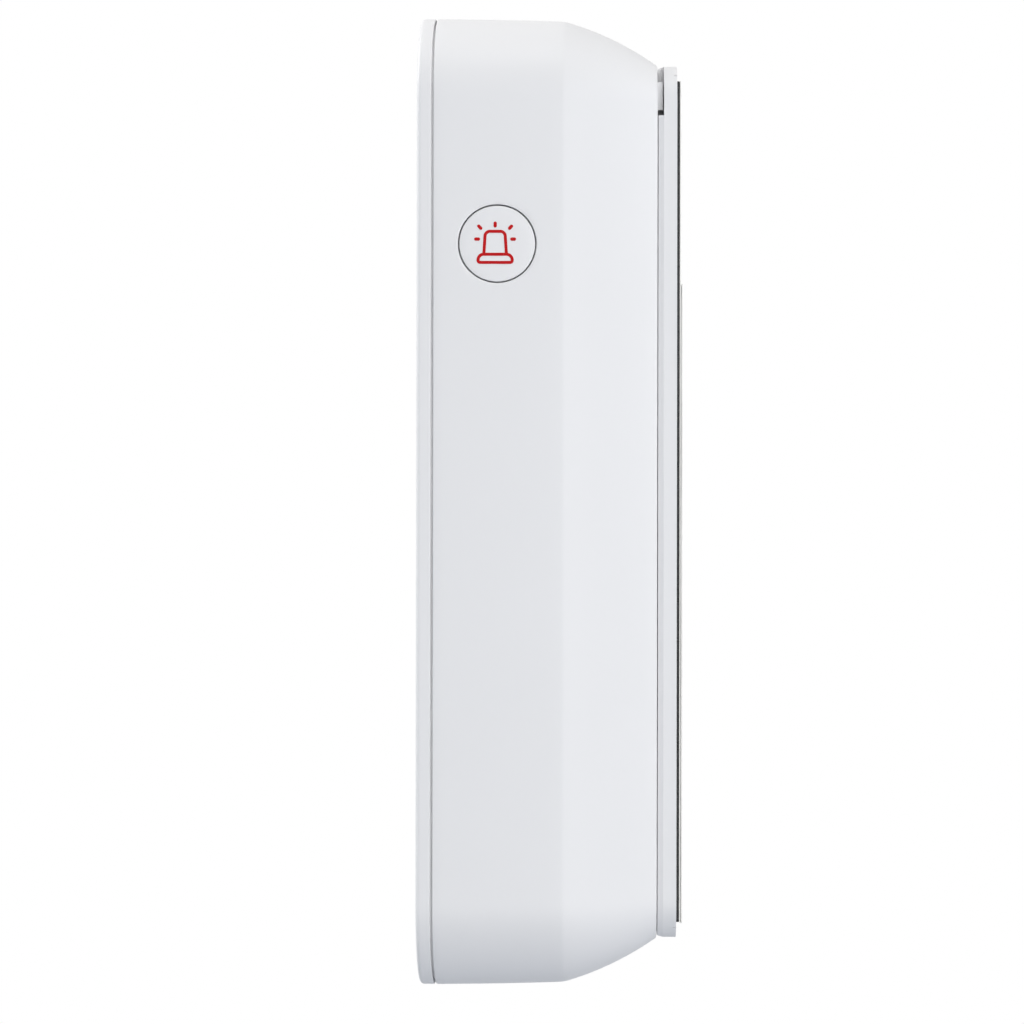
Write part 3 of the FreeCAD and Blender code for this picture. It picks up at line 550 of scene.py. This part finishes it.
def runs(points, closed):
    """The line cut at corners sharper than 35 degrees: a list of (points, closed)."""
    points = np.asarray(points, float)
    before = points - np.roll(points, 1, axis=0)
    after = np.roll(points, -1, axis=0) - points
    turned = np.abs(np.arctan2(before[:, 0] * after[:, 1] - before[:, 1] * after[:, 0], (before * after).sum(axis=1)))
    corners = np.flatnonzero(turned > math.radians(35))
    if not closed:
        corners = corners[(corners > 0) & (corners < len(points) - 1)]
        cuts = [0, *corners, len(points) - 1]
    elif len(corners) == 0:
        return [(points, True)]
    else:
        points = np.roll(points, -corners[0], axis=0)
        points = np.concatenate([points, points[:1]])
        cuts = [*(corners - corners[0]), len(points) - 1]
    return [(points[start:end + 1], False) for start, end in zip(cuts, cuts[1:])]


def spread(points, closed):
    """The line with extra points, so that no step is longer than a third of a millimetre."""
    ends = np.concatenate([points[1:], points[:1]]) if closed else points[1:]
    steps = [start + (end - start) * np.linspace(0, 1, int(math.dist(start, end) / 0.33) + 2)[:-1, None]
             for start, end in zip(points, ends)]
    return np.concatenate(steps if closed else steps + [points[-1:]])


def run_film(points, width, lay, closed, rise):
    """One run as a closed film: three rails, half a width apart, with round ends, a top, a back and a wall."""
    line = spread(points, closed)
    before, after = np.roll(line, 1, axis=0), np.roll(line, -1, axis=0)
    if not closed:
        before[0], after[-1] = line[0], line[-1]
    along = after - before
    along *= width / 2 / np.hypot(*along.T)[:, None]
    aside = np.stack([-along[:, 1], along[:, 0]], axis=-1)
    sheets = [np.array([line + aside, line, line - aside])]
    rings = [line + aside, line - aside]
    if not closed:
        half = np.radians(np.linspace(0, 180, 9))[:, None]
        far = line[-1] + aside[-1] * np.cos(half) + along[-1] * np.sin(half)
        near = line[0] - aside[0] * np.cos(half) - along[0] * np.sin(half)
        sheets += [np.array([end, np.broadcast_to(middle, end.shape)]) for end, middle in ((far, line[-1]), (near, line[0]))]
        rings = [np.concatenate([line + aside, far[1:-1], (line - aside)[::-1], near[1:-1]])]
    levels = (rise, rise - 2 * FILM)
    patches = []
    for sheet in sheets:
        for level in levels:
            grid = np.array([lay(row, level) for row in sheet])
            patches.append((grid.reshape(-1, 3), grid_faces(*grid.shape[:2], closed)))
    for ring in rings:
        wall = np.array([lay(ring, level) for level in levels])
        patches.append((wall.reshape(-1, 3), grid_faces(*wall.shape[:2])))
    return patches


def stroke(points, width, lay, closed=False, rise=FILM):
    """A film along a line; each run stands a little over the run before it, so no two faces coincide."""
    patches = []
    for step, (part, whole) in enumerate(runs(points, closed)):
        patches += run_film(part, width, lay, whole, rise + 0.002 * step)
    return patches


class KeyFace:
    """Lays a flat pad (x, z) on a key's dipped face."""

    def __init__(self, place):
        self.place = np.array(place)

    def __call__(self, ring, rise):
        fall = KEY_DIP * (1 - (ring[:, 1] / (key_half[1] - KEY_ROUND)) ** 2)
        return at_height(ring + self.place, 0.0) + np.stack(
            [np.zeros(len(ring)), KEY_TOP - fall + rise, np.zeros(len(ring))], axis=-1)


class SideFace:
    """Lays a flat pad on the side wall; the pad's x runs to the wall and its z runs up."""

    def __call__(self, ring, rise):
        level = BUTTON_AT - ring[:, 0]
        return np.column_stack([side_wall(level) + rise, level, BUTTON_UP + ring[:, 1]])


# %% [markdown]
# ### The alarm sign on the side button
# The red sign is a beacon: a lamp with sides that lean inwards, on a low base, with five short rays. Its
# sizes were read from the photograph and are given in millimetres from the middle of the button.

# %% Draw the alarm sign
INK = 0.46
SIGN_X = -0.3
lamp = np.concatenate([[(-1.70, -1.60)], arc(-0.78, 1.10, 0.75, 0.75, 176, 90, 8),
                       arc(0.78, 1.10, 0.75, 0.75, 90, 4, 8), [(1.70, -1.60)]])
base = np.concatenate([arc(1.72, -2.47, 0.86, 0.86, 0, 90, 8), arc(-1.72, -2.47, 0.86, 0.86, 90, 180, 8),
                       arc(-2.26, -2.52, 0.32, 0.32, 180, 270, 5), arc(2.26, -2.52, 0.32, 0.32, 270, 360, 5)])
rays = [[(0, 2.67), (0, 3.09)]]
for side in (-1, 1):
    rays += [[(side * 2.17, 2.31), (side * 2.47, 2.63)], [(side * 2.52, 0.68), (side * 2.92, 0.68)]]
patches = []
for step, (line, closed) in enumerate([(lamp, False), (base, True)] + [(ray, False) for ray in rays]):
    width = INK if step < 2 else INK + 0.04
    patches += stroke(np.asarray(line) + (SIGN_X, 0), width, SideFace(), closed, FILM + 0.004 * step)
alarm_sign = make_piece("alarm_sign", patches)
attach(alarm_sign, "panic_button")

# %% [markdown]
# ### Signs on the keys
# Twelve keys carry the usual numbers, a star and a hash. The three keys above them set the alarm: a closed
# padlock for away, a house for home and an open padlock for disarm. Each sign is a list of lines, written in
# millimetres about the middle of its key.

# %% Draw the signs of the keys
BOWL = arc(0, -0.75, 1.2, 1.25, 0, 360, 36)[:-1]
PADLOCK = Outline(1.5, 1.1, 0.45, 0.0, -0.85, 5).ring()
signs = {
    "key_0": [(arc(0, 0, 1.25, 2.0, 0, 360, 40)[:-1], True)],
    "key_1": [([(-0.75, 1.25), (0.2, 2.0), (0.2, -2.0)], False)],
    "key_2": [(np.concatenate([arc(0, 0.85, 1.15, 1.15, 165, -30), [(-1.25, -2.0), (1.3, -2.0)]]), False)],
    "key_3": [(arc(-0.05, 0.95, 1.1, 1.05, 150, -90), False), (arc(-0.05, -0.95, 1.25, 1.05, 90, -150), False)],
    "key_4": [([(0.65, -2.0), (0.65, 2.0), (-1.35, -0.95), (1.35, -0.95)], False)],
    "key_5": [(np.concatenate([[(1.05, 2.0), (-0.85, 2.0), (-1.0, 0.3)],
                               arc(-0.05, -0.7, 1.25, 1.3, 125, -150)]), False)],
    "key_6": [(BOWL, True), (arc(0.95, -0.75, 2.15, 2.95, 180, 106), False)],
    "key_7": [([(-1.25, 2.0), (1.25, 2.0), (-0.35, -2.0)], False)],
    "key_8": [(arc(0, 1.0, 1.0, 1.0, 0, 360, 32)[:-1], True), (arc(0, -1.0, 1.2, 1.05, 0, 360, 36)[:-1], True)],
    "key_9": [(-BOWL, True), (-arc(0.95, -0.75, 2.15, 2.95, 180, 106), False)],
    "key_star": [([(-1.5 * math.cos(turn), -1.5 * math.sin(turn)), (1.5 * math.cos(turn), 1.5 * math.sin(turn))],
                  False) for turn in np.radians((30, 90, 150))],
    "key_hash": [([(-1.6, up), (1.6, up)], False) for up in (-0.65, 0.65)]
                + [([(across - 0.25, -1.7), (across + 0.25, 1.7)], False) for across in (-0.65, 0.65)],
    "key_away": [(PADLOCK, True), (arc(0, 0.9, 0.95, 1.0, 0, 180), False),
                 ([(-0.95, 0.9), (-0.95, 0.3)], False), ([(0.95, 0.9), (0.95, 0.3)], False)],
    "key_home": [([(-2.1, 0.2), (0, 2.0), (2.1, 0.2)], False),
                 ([(-1.45, 0.4), (-1.45, -1.9), (1.45, -1.9), (1.45, 0.4)], False),
                 ([(-0.45, -1.8), (-0.45, -0.5), (0.45, -0.5), (0.45, -1.8)], False)],
    "key_disarm": [(PADLOCK, True), (arc(1.9, 0.9, 0.95, 1.0, 0, 180), False),
                   ([(0.95, 0.9), (0.95, 0.3)], False)],
}
PEN = 0.5
SIGN_SIZE = 1.2
sign_pieces = []
for name, lines in signs.items():
    patches = []
    for step, (line, closed) in enumerate(lines):
        patches += stroke(np.asarray(line) * SIGN_SIZE, PEN, KeyFace(key_at[name]), closed, FILM + 0.006 * step)
    sign = make_piece(f"{name}_sign", patches)
    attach(sign, name)
    sign_pieces.append(sign)

# %% [markdown]
# ## The wall bracket
# The bracket's form is right in the CAD mesh, but its edges are knife sharp, and a real moulding catches the
# light along every edge. A copy of the mesh is merged, and a few of its levels are moved by some tenths of a
# millimetre to where the photograph shows them: the rim's crease, its top, the end of the notches, and
# the width of the rim. Then its flat triangles are joined into whole faces, and a bevel of a tenth of a millimetre rounds the
# edges.

# %% Round the bracket's edges


def moved(points):
    """The points with some levels moved: in height over the wall, and up or down in the notches."""
    points = points.copy()
    for level, new in ((1.8, 2.03), (2.8, 2.88)):
        points[np.abs(points[:, 1] - level) < 0.01, 1] = new
    notch = (np.abs(points[:, 0]) > 36.6) & (points[:, 1] > 1.9) & (np.abs(np.abs(points[:, 2]) - 60.0) < 0.01)
    points[notch, 2] = np.sign(points[notch, 2]) * 59.2
    flat = points[:, (0, 2)]
    away = flat - np.clip(flat, (-36.0, -61.0), (36.0, 61.0))
    reach = np.hypot(*away.T)
    rim = (points[:, 1] > 2.8) & (reach > 6.2)
    points[rim[:, None] & [True, False, True]] = (flat[rim] + away[rim] * (0.1 / reach[rim])[:, None]).reshape(-1)
    return points


def softened(node, width):
    """A copy of a CAD node, merged and cleaned, with a rounded bevel on its edges."""
    points, triangles = cad_mesh(node)
    mesh = bpy.data.meshes.new(f"{node}_soft")
    mesh.from_pydata(to_frame(moved(points)), [], triangles.tolist())
    shell = bmesh.new()
    shell.from_mesh(mesh)
    bmesh.ops.recalc_face_normals(shell, faces=shell.faces)
    bmesh.ops.dissolve_limit(shell, angle_limit=math.radians(1), verts=shell.verts, edges=shell.edges)
    shell.to_mesh(mesh)
    shell.free()
    mesh.shade_smooth()
    mesh.set_sharp_from_angle(angle=math.radians(30))
    piece = bpy.data.objects.new(mesh.name, mesh)
    bpy.context.scene.collection.objects.link(piece)
    bevel = piece.modifiers.new("edges", "BEVEL")
    bevel.width = width * MM
    bevel.segments = 3
    bevel.limit_method = "ANGLE"
    bevel.angle_limit = math.radians(15)
    bevel.harden_normals = True
    print(f"{piece.name}: {len(mesh.polygons)} faces before the bevel")
    return piece


bracket = softened("wall_bracket", 0.08)
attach(bracket, "bracket")
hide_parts("wall_bracket")

# %% [markdown]
# ## Foam pads and their liners
# Two strips of black foam tape hold the bracket to the wall. Tape is cut by a knife, so its edge isn't
# straight: the outline is moved by a sum of three sine waves of a few hundredths of a millimetre. A
# release liner covers each pad. It is one film that lies on the pad, turns round the pad's lower end and
# comes back as a pull tab. The film is a line in the side view, given its thickness and width.

# %% Build the pads and liners
FOAM_HALF = (11.0, 64.8)
FOAM_LOW, FOAM_HIGH = heights("adhesive_left")
FILM_LOW = heights("liner_left")[0]
SHEET = 0.18
TAB_TOP = 33.5


def knife_wave(ring):
    """A sum of three sine waves along the length of a ring, from about -2 to 2."""
    length = np.cumsum(np.hypot(*(ring - np.roll(ring, 1, axis=0)).T))
    return np.sin(1.9 * length) + 0.7 * np.sin(4.3 * length + 1) + 0.5 * np.sin(9.1 * length + 2)


def foam_pad(name, across):
    """A pad of foam tape with a knife-cut outline and a soft edge on both faces."""
    pad = spread(Outline(*FOAM_HALF, 0.8, across, 0.0, 6).ring(), True)
    wave = knife_wave(pad)
    profile = [(0.5, FOAM_HIGH)] + rounded((0.15, FOAM_HIGH), (0, FOAM_HIGH - 0.12), (0, FOAM_HIGH), 4)
    profile += rounded((0, FOAM_LOW + 0.12), (0.15, FOAM_LOW), (0, FOAM_LOW), 4) + [(0.5, FOAM_LOW)]
    inset, level = np.array(profile).T[..., None]
    near = np.clip(1 - inset / 0.4, 0, 1)
    scale = 1 - (inset - 0.02 * near * wave)[..., None] / FOAM_HALF
    flat = (across, 0) + (pad - (across, 0)) * scale
    grid = np.stack([flat[..., 0], level + 0.025 * near * np.roll(wave, 7), flat[..., 1]], axis=-1)
    return make_piece(name, [(grid.reshape(-1, 3), grid_faces(*grid.shape[:2])), membrane(grid[0]),
                             membrane(grid[-1])])


def liner_film(name, across):
    """A film along a line in the side view (height, up): down the pad, round its end and back up."""
    first, second = FOAM_LOW - SHEET / 2, FILM_LOW + SHEET / 2
    turn = (first - second) / 2
    fold = -FOAM_HALF[1] + turn
    down = np.linspace(FOAM_HALF[1], fold, 60)
    up = np.linspace(fold, TAB_TOP, 40)
    bend = arc((first + second) / 2, fold, turn, turn, 0, -180, 12)
    ripple = 0.012 * np.sin(up * 0.21) * np.linspace(0, 1, len(up)) ** 0.5
    line = np.concatenate([np.column_stack([np.full(60, first), down])[:-1], bend,
                           np.column_stack([second - ripple + 0.012, up])[1:]])
    along = np.gradient(line, axis=0)
    along /= np.hypot(*along.T)[:, None]
    aside = np.stack([-along[:, 1], along[:, 0]], axis=-1) * SHEET / 2
    ring = np.concatenate([line + aside, (line - aside)[::-1]])
    ends = [np.column_stack([np.full(len(ring), across + side * FOAM_HALF[0]), ring]) for side in (-1, 1)]
    return make_piece(name, [(np.concatenate(ends), grid_faces(2, len(ring))), membrane(ends[0], (), (1, 2)),
                             membrane(ends[1], (), (1, 2))])


pads, liners = [], []
for side in ("left", "right"):
    across = sum(span(f"adhesive_{side}", 0)) / 2
    pads.append(foam_pad(f"foam_{side}", across))
    liners.append(liner_film(f"film_{side}", across))
    for piece, node in ((pads[-1], f"adhesive_{side}"), (liners[-1], f"liner_{side}")):
        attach(piece, "bracket")
        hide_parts(node)

# %% [markdown]
# ## Shader maths
# A finish is a network of shader nodes. Written out node by node it is hard to read, so one small class wraps
# an output socket: arithmetic on it adds Math nodes, and one method adds any other node.

# %% The socket class


class Flow:
    """An output of a shader node. Arithmetic on it adds Math nodes to the same material."""

    def __init__(self, tree, output):
        self.tree, self.output = tree, output

    def node(self, kind, settings, inputs, result=0):
        """A node of a kind: its settings are set first, then its inputs are given values or links."""
        made = self.tree.nodes.new(kind)
        for name, setting in settings.items():
            setattr(made, name, setting)
        for name, given in inputs.items():
            if isinstance(given, Flow):
                self.tree.links.new(given.output, made.inputs[name])
            else:
                made.inputs[name].default_value = given
        return Flow(self.tree, made.outputs[result])

    def maths(self, operation, *values):
        return self.node("ShaderNodeMath", {"operation": operation}, dict(enumerate(values)))

    def __add__(self, other):
        return self.maths("ADD", self, other)

    def __sub__(self, other):
        return self.maths("SUBTRACT", self, other)

    def __rsub__(self, other):
        return self.maths("SUBTRACT", other, self)

    def __mul__(self, other):
        return self.maths("MULTIPLY", self, other)

    __radd__, __rmul__ = __add__, __mul__

    def above(self, level, soft):
        """0 under a level, 1 over it, with a soft step between."""
        return self.node("ShaderNodeMapRange", {"interpolation_type": "SMOOTHSTEP"},
                         {"Value": self, "From Min": level - soft, "From Max": level + soft})

    def noise(self, scale, detail=3.0, rough=0.5):
        """Noise at a scale of spots to the metre, from 0 to 1."""
        return self.node("ShaderNodeTexNoise", {}, {"Vector": self, "Scale": scale, "Detail": detail,
                                                    "Roughness": rough})

    def blend(self, first, second):
        """A colour between two colours, with this value as the share of the second."""
        return self.node("ShaderNodeMix", {"data_type": "RGBA"}, {"Factor": self, 6: first, 7: second}, 2)

    def bump(self, strength, depth):
        """A normal that follows this height; depth is in millimetres."""
        return self.node("ShaderNodeBump", {}, {"Height": self, "Strength": strength, "Distance": depth * MM})

    def axes(self):
        """The three coordinates of a vector."""
        split = self.node("ShaderNodeSeparateXYZ", {}, {"Vector": self})
        return [Flow(self.tree, split.output.node.outputs[axis]) for axis in range(3)]


def new_finish(name, constants):
    """A material with its constant inputs set; returns it, its shader and the Object coordinates."""
    material = bpy.data.materials.new(name)
    material.use_nodes = True
    tree = material.node_tree
    shader = tree.nodes["Principled BSDF"]
    for socket, constant in constants.items():
        shader.inputs[socket].default_value = constant
    place = Flow(tree, tree.nodes.new("ShaderNodeTexCoord").outputs["Object"])
    return material, shader, place


def connect(shader, **flows):
    """Links flows to the shader's inputs; an underscore in a name stands for a space."""
    for name, flow in flows.items():
        flow.tree.links.new(flow.output, shader.inputs[name.replace("_", " ")])


def grey(level, tint=(1.0, 1.0, 1.0)):
    """An opaque colour at a level, with a slight tint."""
    return tuple(level * part for part in tint) + (1.0,)


# %% [markdown]
# ## Moulded plastic
# The shells are an off-white plastic with a slight blue cast, moulded in a finely eroded tool. Two noises make
# that skin: a fine one for the grain and a wide one for the faint clouds that a thick moulding shows. The
# grain moves the roughness and the bump, the clouds move the colour by about one part in a hundred.

# %% Plastic finishes


def moulded(name, colour, rough, grain, scale=3200.0, **constants):
    """An opaque moulded plastic; grain is the bump's strength."""
    material, shader, place = new_finish(name, {"IOR": 1.48, **constants})
    fine = place.noise(scale, 4.0, 0.6)
    clouds = place.noise(45.0, 2.0)
    darker = tuple(part * 0.975 for part in colour[:3]) + (1.0,)
    connect(shader, Base_Color=clouds.blend(darker, colour), Roughness=fine * 0.1 + (rough - 0.05),
            Normal=fine.bump(grain, 0.02))
    return material


COOL = (0.99, 0.99, 1.0)
finishes = {
    "white_shell": moulded("shell_plastic", grey(0.80, COOL), 0.46, 0.10),
    "key_caps": moulded("key_plastic", grey(0.82, COOL), 0.40, 0.06),
    "button_cap": moulded("button_plastic", grey(0.80, COOL), 0.42, 0.06),
    "plunger_rod": moulded("rod_plastic", grey(0.05), 0.35, 0.08),
    "sounder_case": moulded("sounder_plastic", grey(0.03), 0.5, 0.15),
}
finishes["lamp"] = moulded("lamp_resin", (0.85, 0.80, 0.45, 1.0), 0.25, 0.03)
finishes["silicone"] = moulded("silicone_rubber", grey(0.55), 0.55, 0.12, 900.0)
sign_ink = moulded("key_ink", grey(0.09), 0.5, 0.05)
alarm_ink = moulded("alarm_ink", (0.52, 0.006, 0.008, 1.0), 0.6, 0.05, **{"Specular IOR Level": 0.12})

# %% [markdown]
# ## The other finishes
# The status window is frosted clear plastic. The pads are closed-cell foam, with pores of a few tenths of a
# millimetre. The liner is a thin waxed film. Inside there are a green board with copper tracks under its
# lacquer, tin cans, steel screws and cells in printed sleeves with bare metal ends.

# %% Window, foam, film, board, metals and cells
material, shader, place = new_finish("frosted_window", {"Transmission Weight": 0.35, "IOR": 1.49})
fine = place.noise(1500.0)
connect(shader, Base_Color=fine.blend(grey(0.80), grey(0.88)), Roughness=fine * 0.15 + 0.35,
        Normal=fine.bump(0.08, 0.02))
finishes["light_pipe"] = material

material, shader, place = new_finish("foam", {"Specular IOR Level": 0.3})
pores = place.node("ShaderNodeTexVoronoi", {"feature": "F1"}, {"Vector": place, "Scale": 2600.0})
dark = pores.above(0.25, 0.2)
connect(shader, Base_Color=dark.blend(grey(0.012), grey(0.045)), Roughness=dark * 0.1 + 0.85,
        Normal=pores.bump(0.7, 0.12))
finishes["foam"] = material

material, shader, place = new_finish("liner_film", {"Coat Weight": 0.25, "Coat Roughness": 0.2})
clouds = place.noise(90.0, 3.0)
connect(shader, Base_Color=clouds.blend(grey(0.68, (1.0, 0.99, 0.95)), grey(0.74, (1.0, 0.99, 0.95))),
        Roughness=clouds * 0.12 + 0.3, Normal=clouds.bump(0.2, 0.05))
finishes["liner_film"] = material

material, shader, place = new_finish("circuit_board", {"Coat Weight": 0.4, "Coat Roughness": 0.15})
across, _, up = place.axes()
tracks = place.node("ShaderNodeTexBrick", {"offset": 0.37, "squash": 1.4},
                    {"Vector": place, "Scale": 260.0, "Mortar Size": 0.03, "Mortar Smooth": 0.1}, 1)
fine = place.noise(700.0)
connect(shader, Base_Color=tracks.blend(grey(0.25, (0.12, 0.42, 0.16)), grey(0.35, (0.16, 0.50, 0.20))),
        Roughness=fine * 0.15 + 0.35, Normal=(tracks + fine * 0.2).bump(0.2, 0.03))
finishes["circuit_board"] = material


def metal(name, colour, rough, grain):
    """A bare metal whose roughness varies a little."""
    material, shader, place = new_finish(name, {"Metallic": 1.0})
    marks = place.noise(1800.0, 5.0, 0.7)
    connect(shader, Base_Color=marks.blend(grey(0.9 * colour), grey(colour)), Roughness=marks * 0.2 + rough,
            Normal=marks.bump(grain, 0.01))
    return material


finishes["shield"] = metal("tinned_steel", 0.62, 0.3, 0.1)
finishes["can"] = metal("aluminium_can", 0.75, 0.35, 0.15)
finishes["screw"] = metal("zinc_steel", 0.55, 0.28, 0.1)

material, shader, place = new_finish("cell_sleeve", {})
_, _, up = place.axes()
low, high = span("battery_1", 2)
sleeve = up.above((low + 2.0) * MM, 0.05 * MM) * (1 - up.above((high - 2.0) * MM, 0.05 * MM))
band = sleeve * up.above((low + 14.0) * MM, 0.05 * MM)
fine = place.noise(900.0)
colour = band.blend(sleeve.blend(grey(0.6), (0.55, 0.35, 0.10, 1.0)), grey(0.03))
connect(shader, Base_Color=colour, Metallic=1 - sleeve, Roughness=fine * 0.15 + 0.25, Normal=fine.bump(0.05, 0.01))
finishes["cell"] = material
print(len(finishes), "finishes for the record's slots")

# %% [markdown]
# ## Dressing every piece
# The record names a material slot for each node. Each CAD node that is still shown takes its slot's finish,
# and each new piece names the slot that it stands for.

# %% Give each piece its finish
slot_of = {row["node"]: row["material_slot"] for row in frame["record"]["subparts"]}
print("slots:", sorted(set(slot_of.values())))


def dress(piece, material):
    """The material in every slot of the piece."""
    piece.data.materials.clear()
    piece.data.materials.append(material)


for name, node in nodes.items():
    dress(node, finishes[slot_of[name]])
for piece, slot in ([(housing, "white_shell"), (cover, "white_shell"), (bracket, "white_shell"),
                     (button, "button_cap"), (window, "light_pipe")]
                    + [(cap, "key_caps") for cap in caps.values()] + [(pad, "foam") for pad in pads]
                    + [(liner, "liner_film") for liner in liners]):
    dress(piece, finishes[slot])
for sign in sign_pieces:
    dress(sign, sign_ink)
dress(alarm_sign, alarm_ink)

# %% [markdown]
# ## Camera, light and ground
# The photograph looks at the keypad's right side from a little under half a metre, almost level. The light is
# soft, from above and from the side of the wall, so the bevel is the brightest part and the lower corner
# falls into shade. The background is white to the camera only. The ground lies below the picture.

# %% Camera
PIXELS = 1024
FOCAL = 2721.5
CAMERA_AT = (459.8, 9.16, -2.07)
YAW, PITCH, ROLL = math.radians(-1.50), math.radians(0.277), 0.0016
MIDDLE = (545.8, 501.5)
ahead = Vector((-math.cos(YAW) * math.cos(PITCH), math.sin(YAW) * math.cos(PITCH), math.sin(PITCH)))
right = Vector((math.sin(YAW), math.cos(YAW), 0))
above = right.cross(ahead)
right, above = (right * math.cos(ROLL) + above * math.sin(ROLL), above * math.cos(ROLL) - right * math.sin(ROLL))
camera_data = bpy.data.cameras.new("side_camera")
camera_data.lens = camera_data.sensor_width * FOCAL / PIXELS
camera_data.shift_x = (PIXELS / 2 - MIDDLE[0]) / PIXELS
camera_data.shift_y = (MIDDLE[1] - PIXELS / 2) / PIXELS
camera = bpy.data.objects.new("side_camera", camera_data)
x, height, z = CAMERA_AT
camera.matrix_world = Matrix.Translation(Vector((x, -height, z)) * MM) @ Matrix((right, above, -ahead)).transposed().to_4x4()
bpy.context.scene.collection.objects.link(camera)
bpy.context.scene.camera = camera
print("lens", round(camera_data.lens, 1), "mm")

# %% Lights


def soft_light(name, place, size, power):
    """A square soft light at a place, turned towards the keypad."""
    data = bpy.data.lights.new(name, "AREA")
    data.size = size
    data.energy = power
    light = bpy.data.objects.new(name, data)
    light.location = place
    light.rotation_euler = (-Vector(place)).to_track_quat("-Z", "Y").to_euler()
    bpy.context.scene.collection.objects.link(light)


soft_light("window_light", (1.5, 0.45, 0.10), 1.0, 13.5)
soft_light("wall_light", (0.45, 1.6, 0.5), 1.0, 8.7)
soft_light("top_light", (0.7, 0.1, 1.5), 0.6, 3.4)
soft_light("front_light", (-0.2, -1.5, 0.8), 1.0, 24.0)

# %% [markdown]
# ### World and ground
# The world is pale above and dim below, along a smooth step of the direction's height, and the camera,
# mirror-like surfaces and clear plastic see it as plain white. The ground is a pale square well under the
# keypad. The camera sees it as nearly white too, through the same light path node, with a faint shadow left.

# %% World and ground
world = bpy.data.worlds.new("studio")
bpy.context.scene.world = world
world.use_nodes = True
tree = world.node_tree
sky = tree.nodes["Background"]
direction = Flow(tree, tree.nodes.new("ShaderNodeTexCoord").outputs["Generated"])
path = tree.nodes.new("ShaderNodeLightPath")
seen = Flow(tree, path.outputs["Is Camera Ray"])
for ray in ("Is Glossy Ray", "Is Transmission Ray"):
    seen = seen.maths("MAXIMUM", seen, Flow(tree, path.outputs[ray]))
shade = seen.blend(direction.axes()[2].above(0.0, 0.5).blend(grey(0.14, (0.72, 0.95, 1.35)), grey(0.38)), grey(1.0))
tree.links.new(shade.output, sky.inputs["Color"])

GROUND = -0.5
points = np.array([(-1, -1), (1, -1), (1, 1), (-1, 1)], float) * 0.45
data = bpy.data.meshes.new("ground")
data.from_pydata(np.column_stack([points, np.full(4, GROUND)]), [], [(0, 1, 2, 3)])
ground = bpy.data.objects.new("ground", data)
bpy.context.scene.collection.objects.link(ground)
material, shader, place = new_finish("ground_paint", {})
tone = place.noise(6.0)
connect(shader, Base_Color=tone.blend(grey(0.60, (0.94, 0.98, 1.05)), grey(0.63, (0.94, 0.98, 1.05))), Roughness=tone * 0.1 + 0.75)
tree = material.node_tree
paint = Flow(tree, shader.outputs[0])
white = paint.node("ShaderNodeEmission", {}, {"Color": grey(1.0), "Strength": 1.0})
part = Flow(tree, tree.nodes.new("ShaderNodeLightPath").outputs["Is Camera Ray"]) * 0.85
mixed = part.node("ShaderNodeMixShader", {}, {0: part, 1: paint, 2: white})
tree.links.new(mixed.output, tree.nodes["Material Output"].inputs["Surface"])
dress(ground, material)
bpy.context.scene.view_settings.view_transform = "Standard"
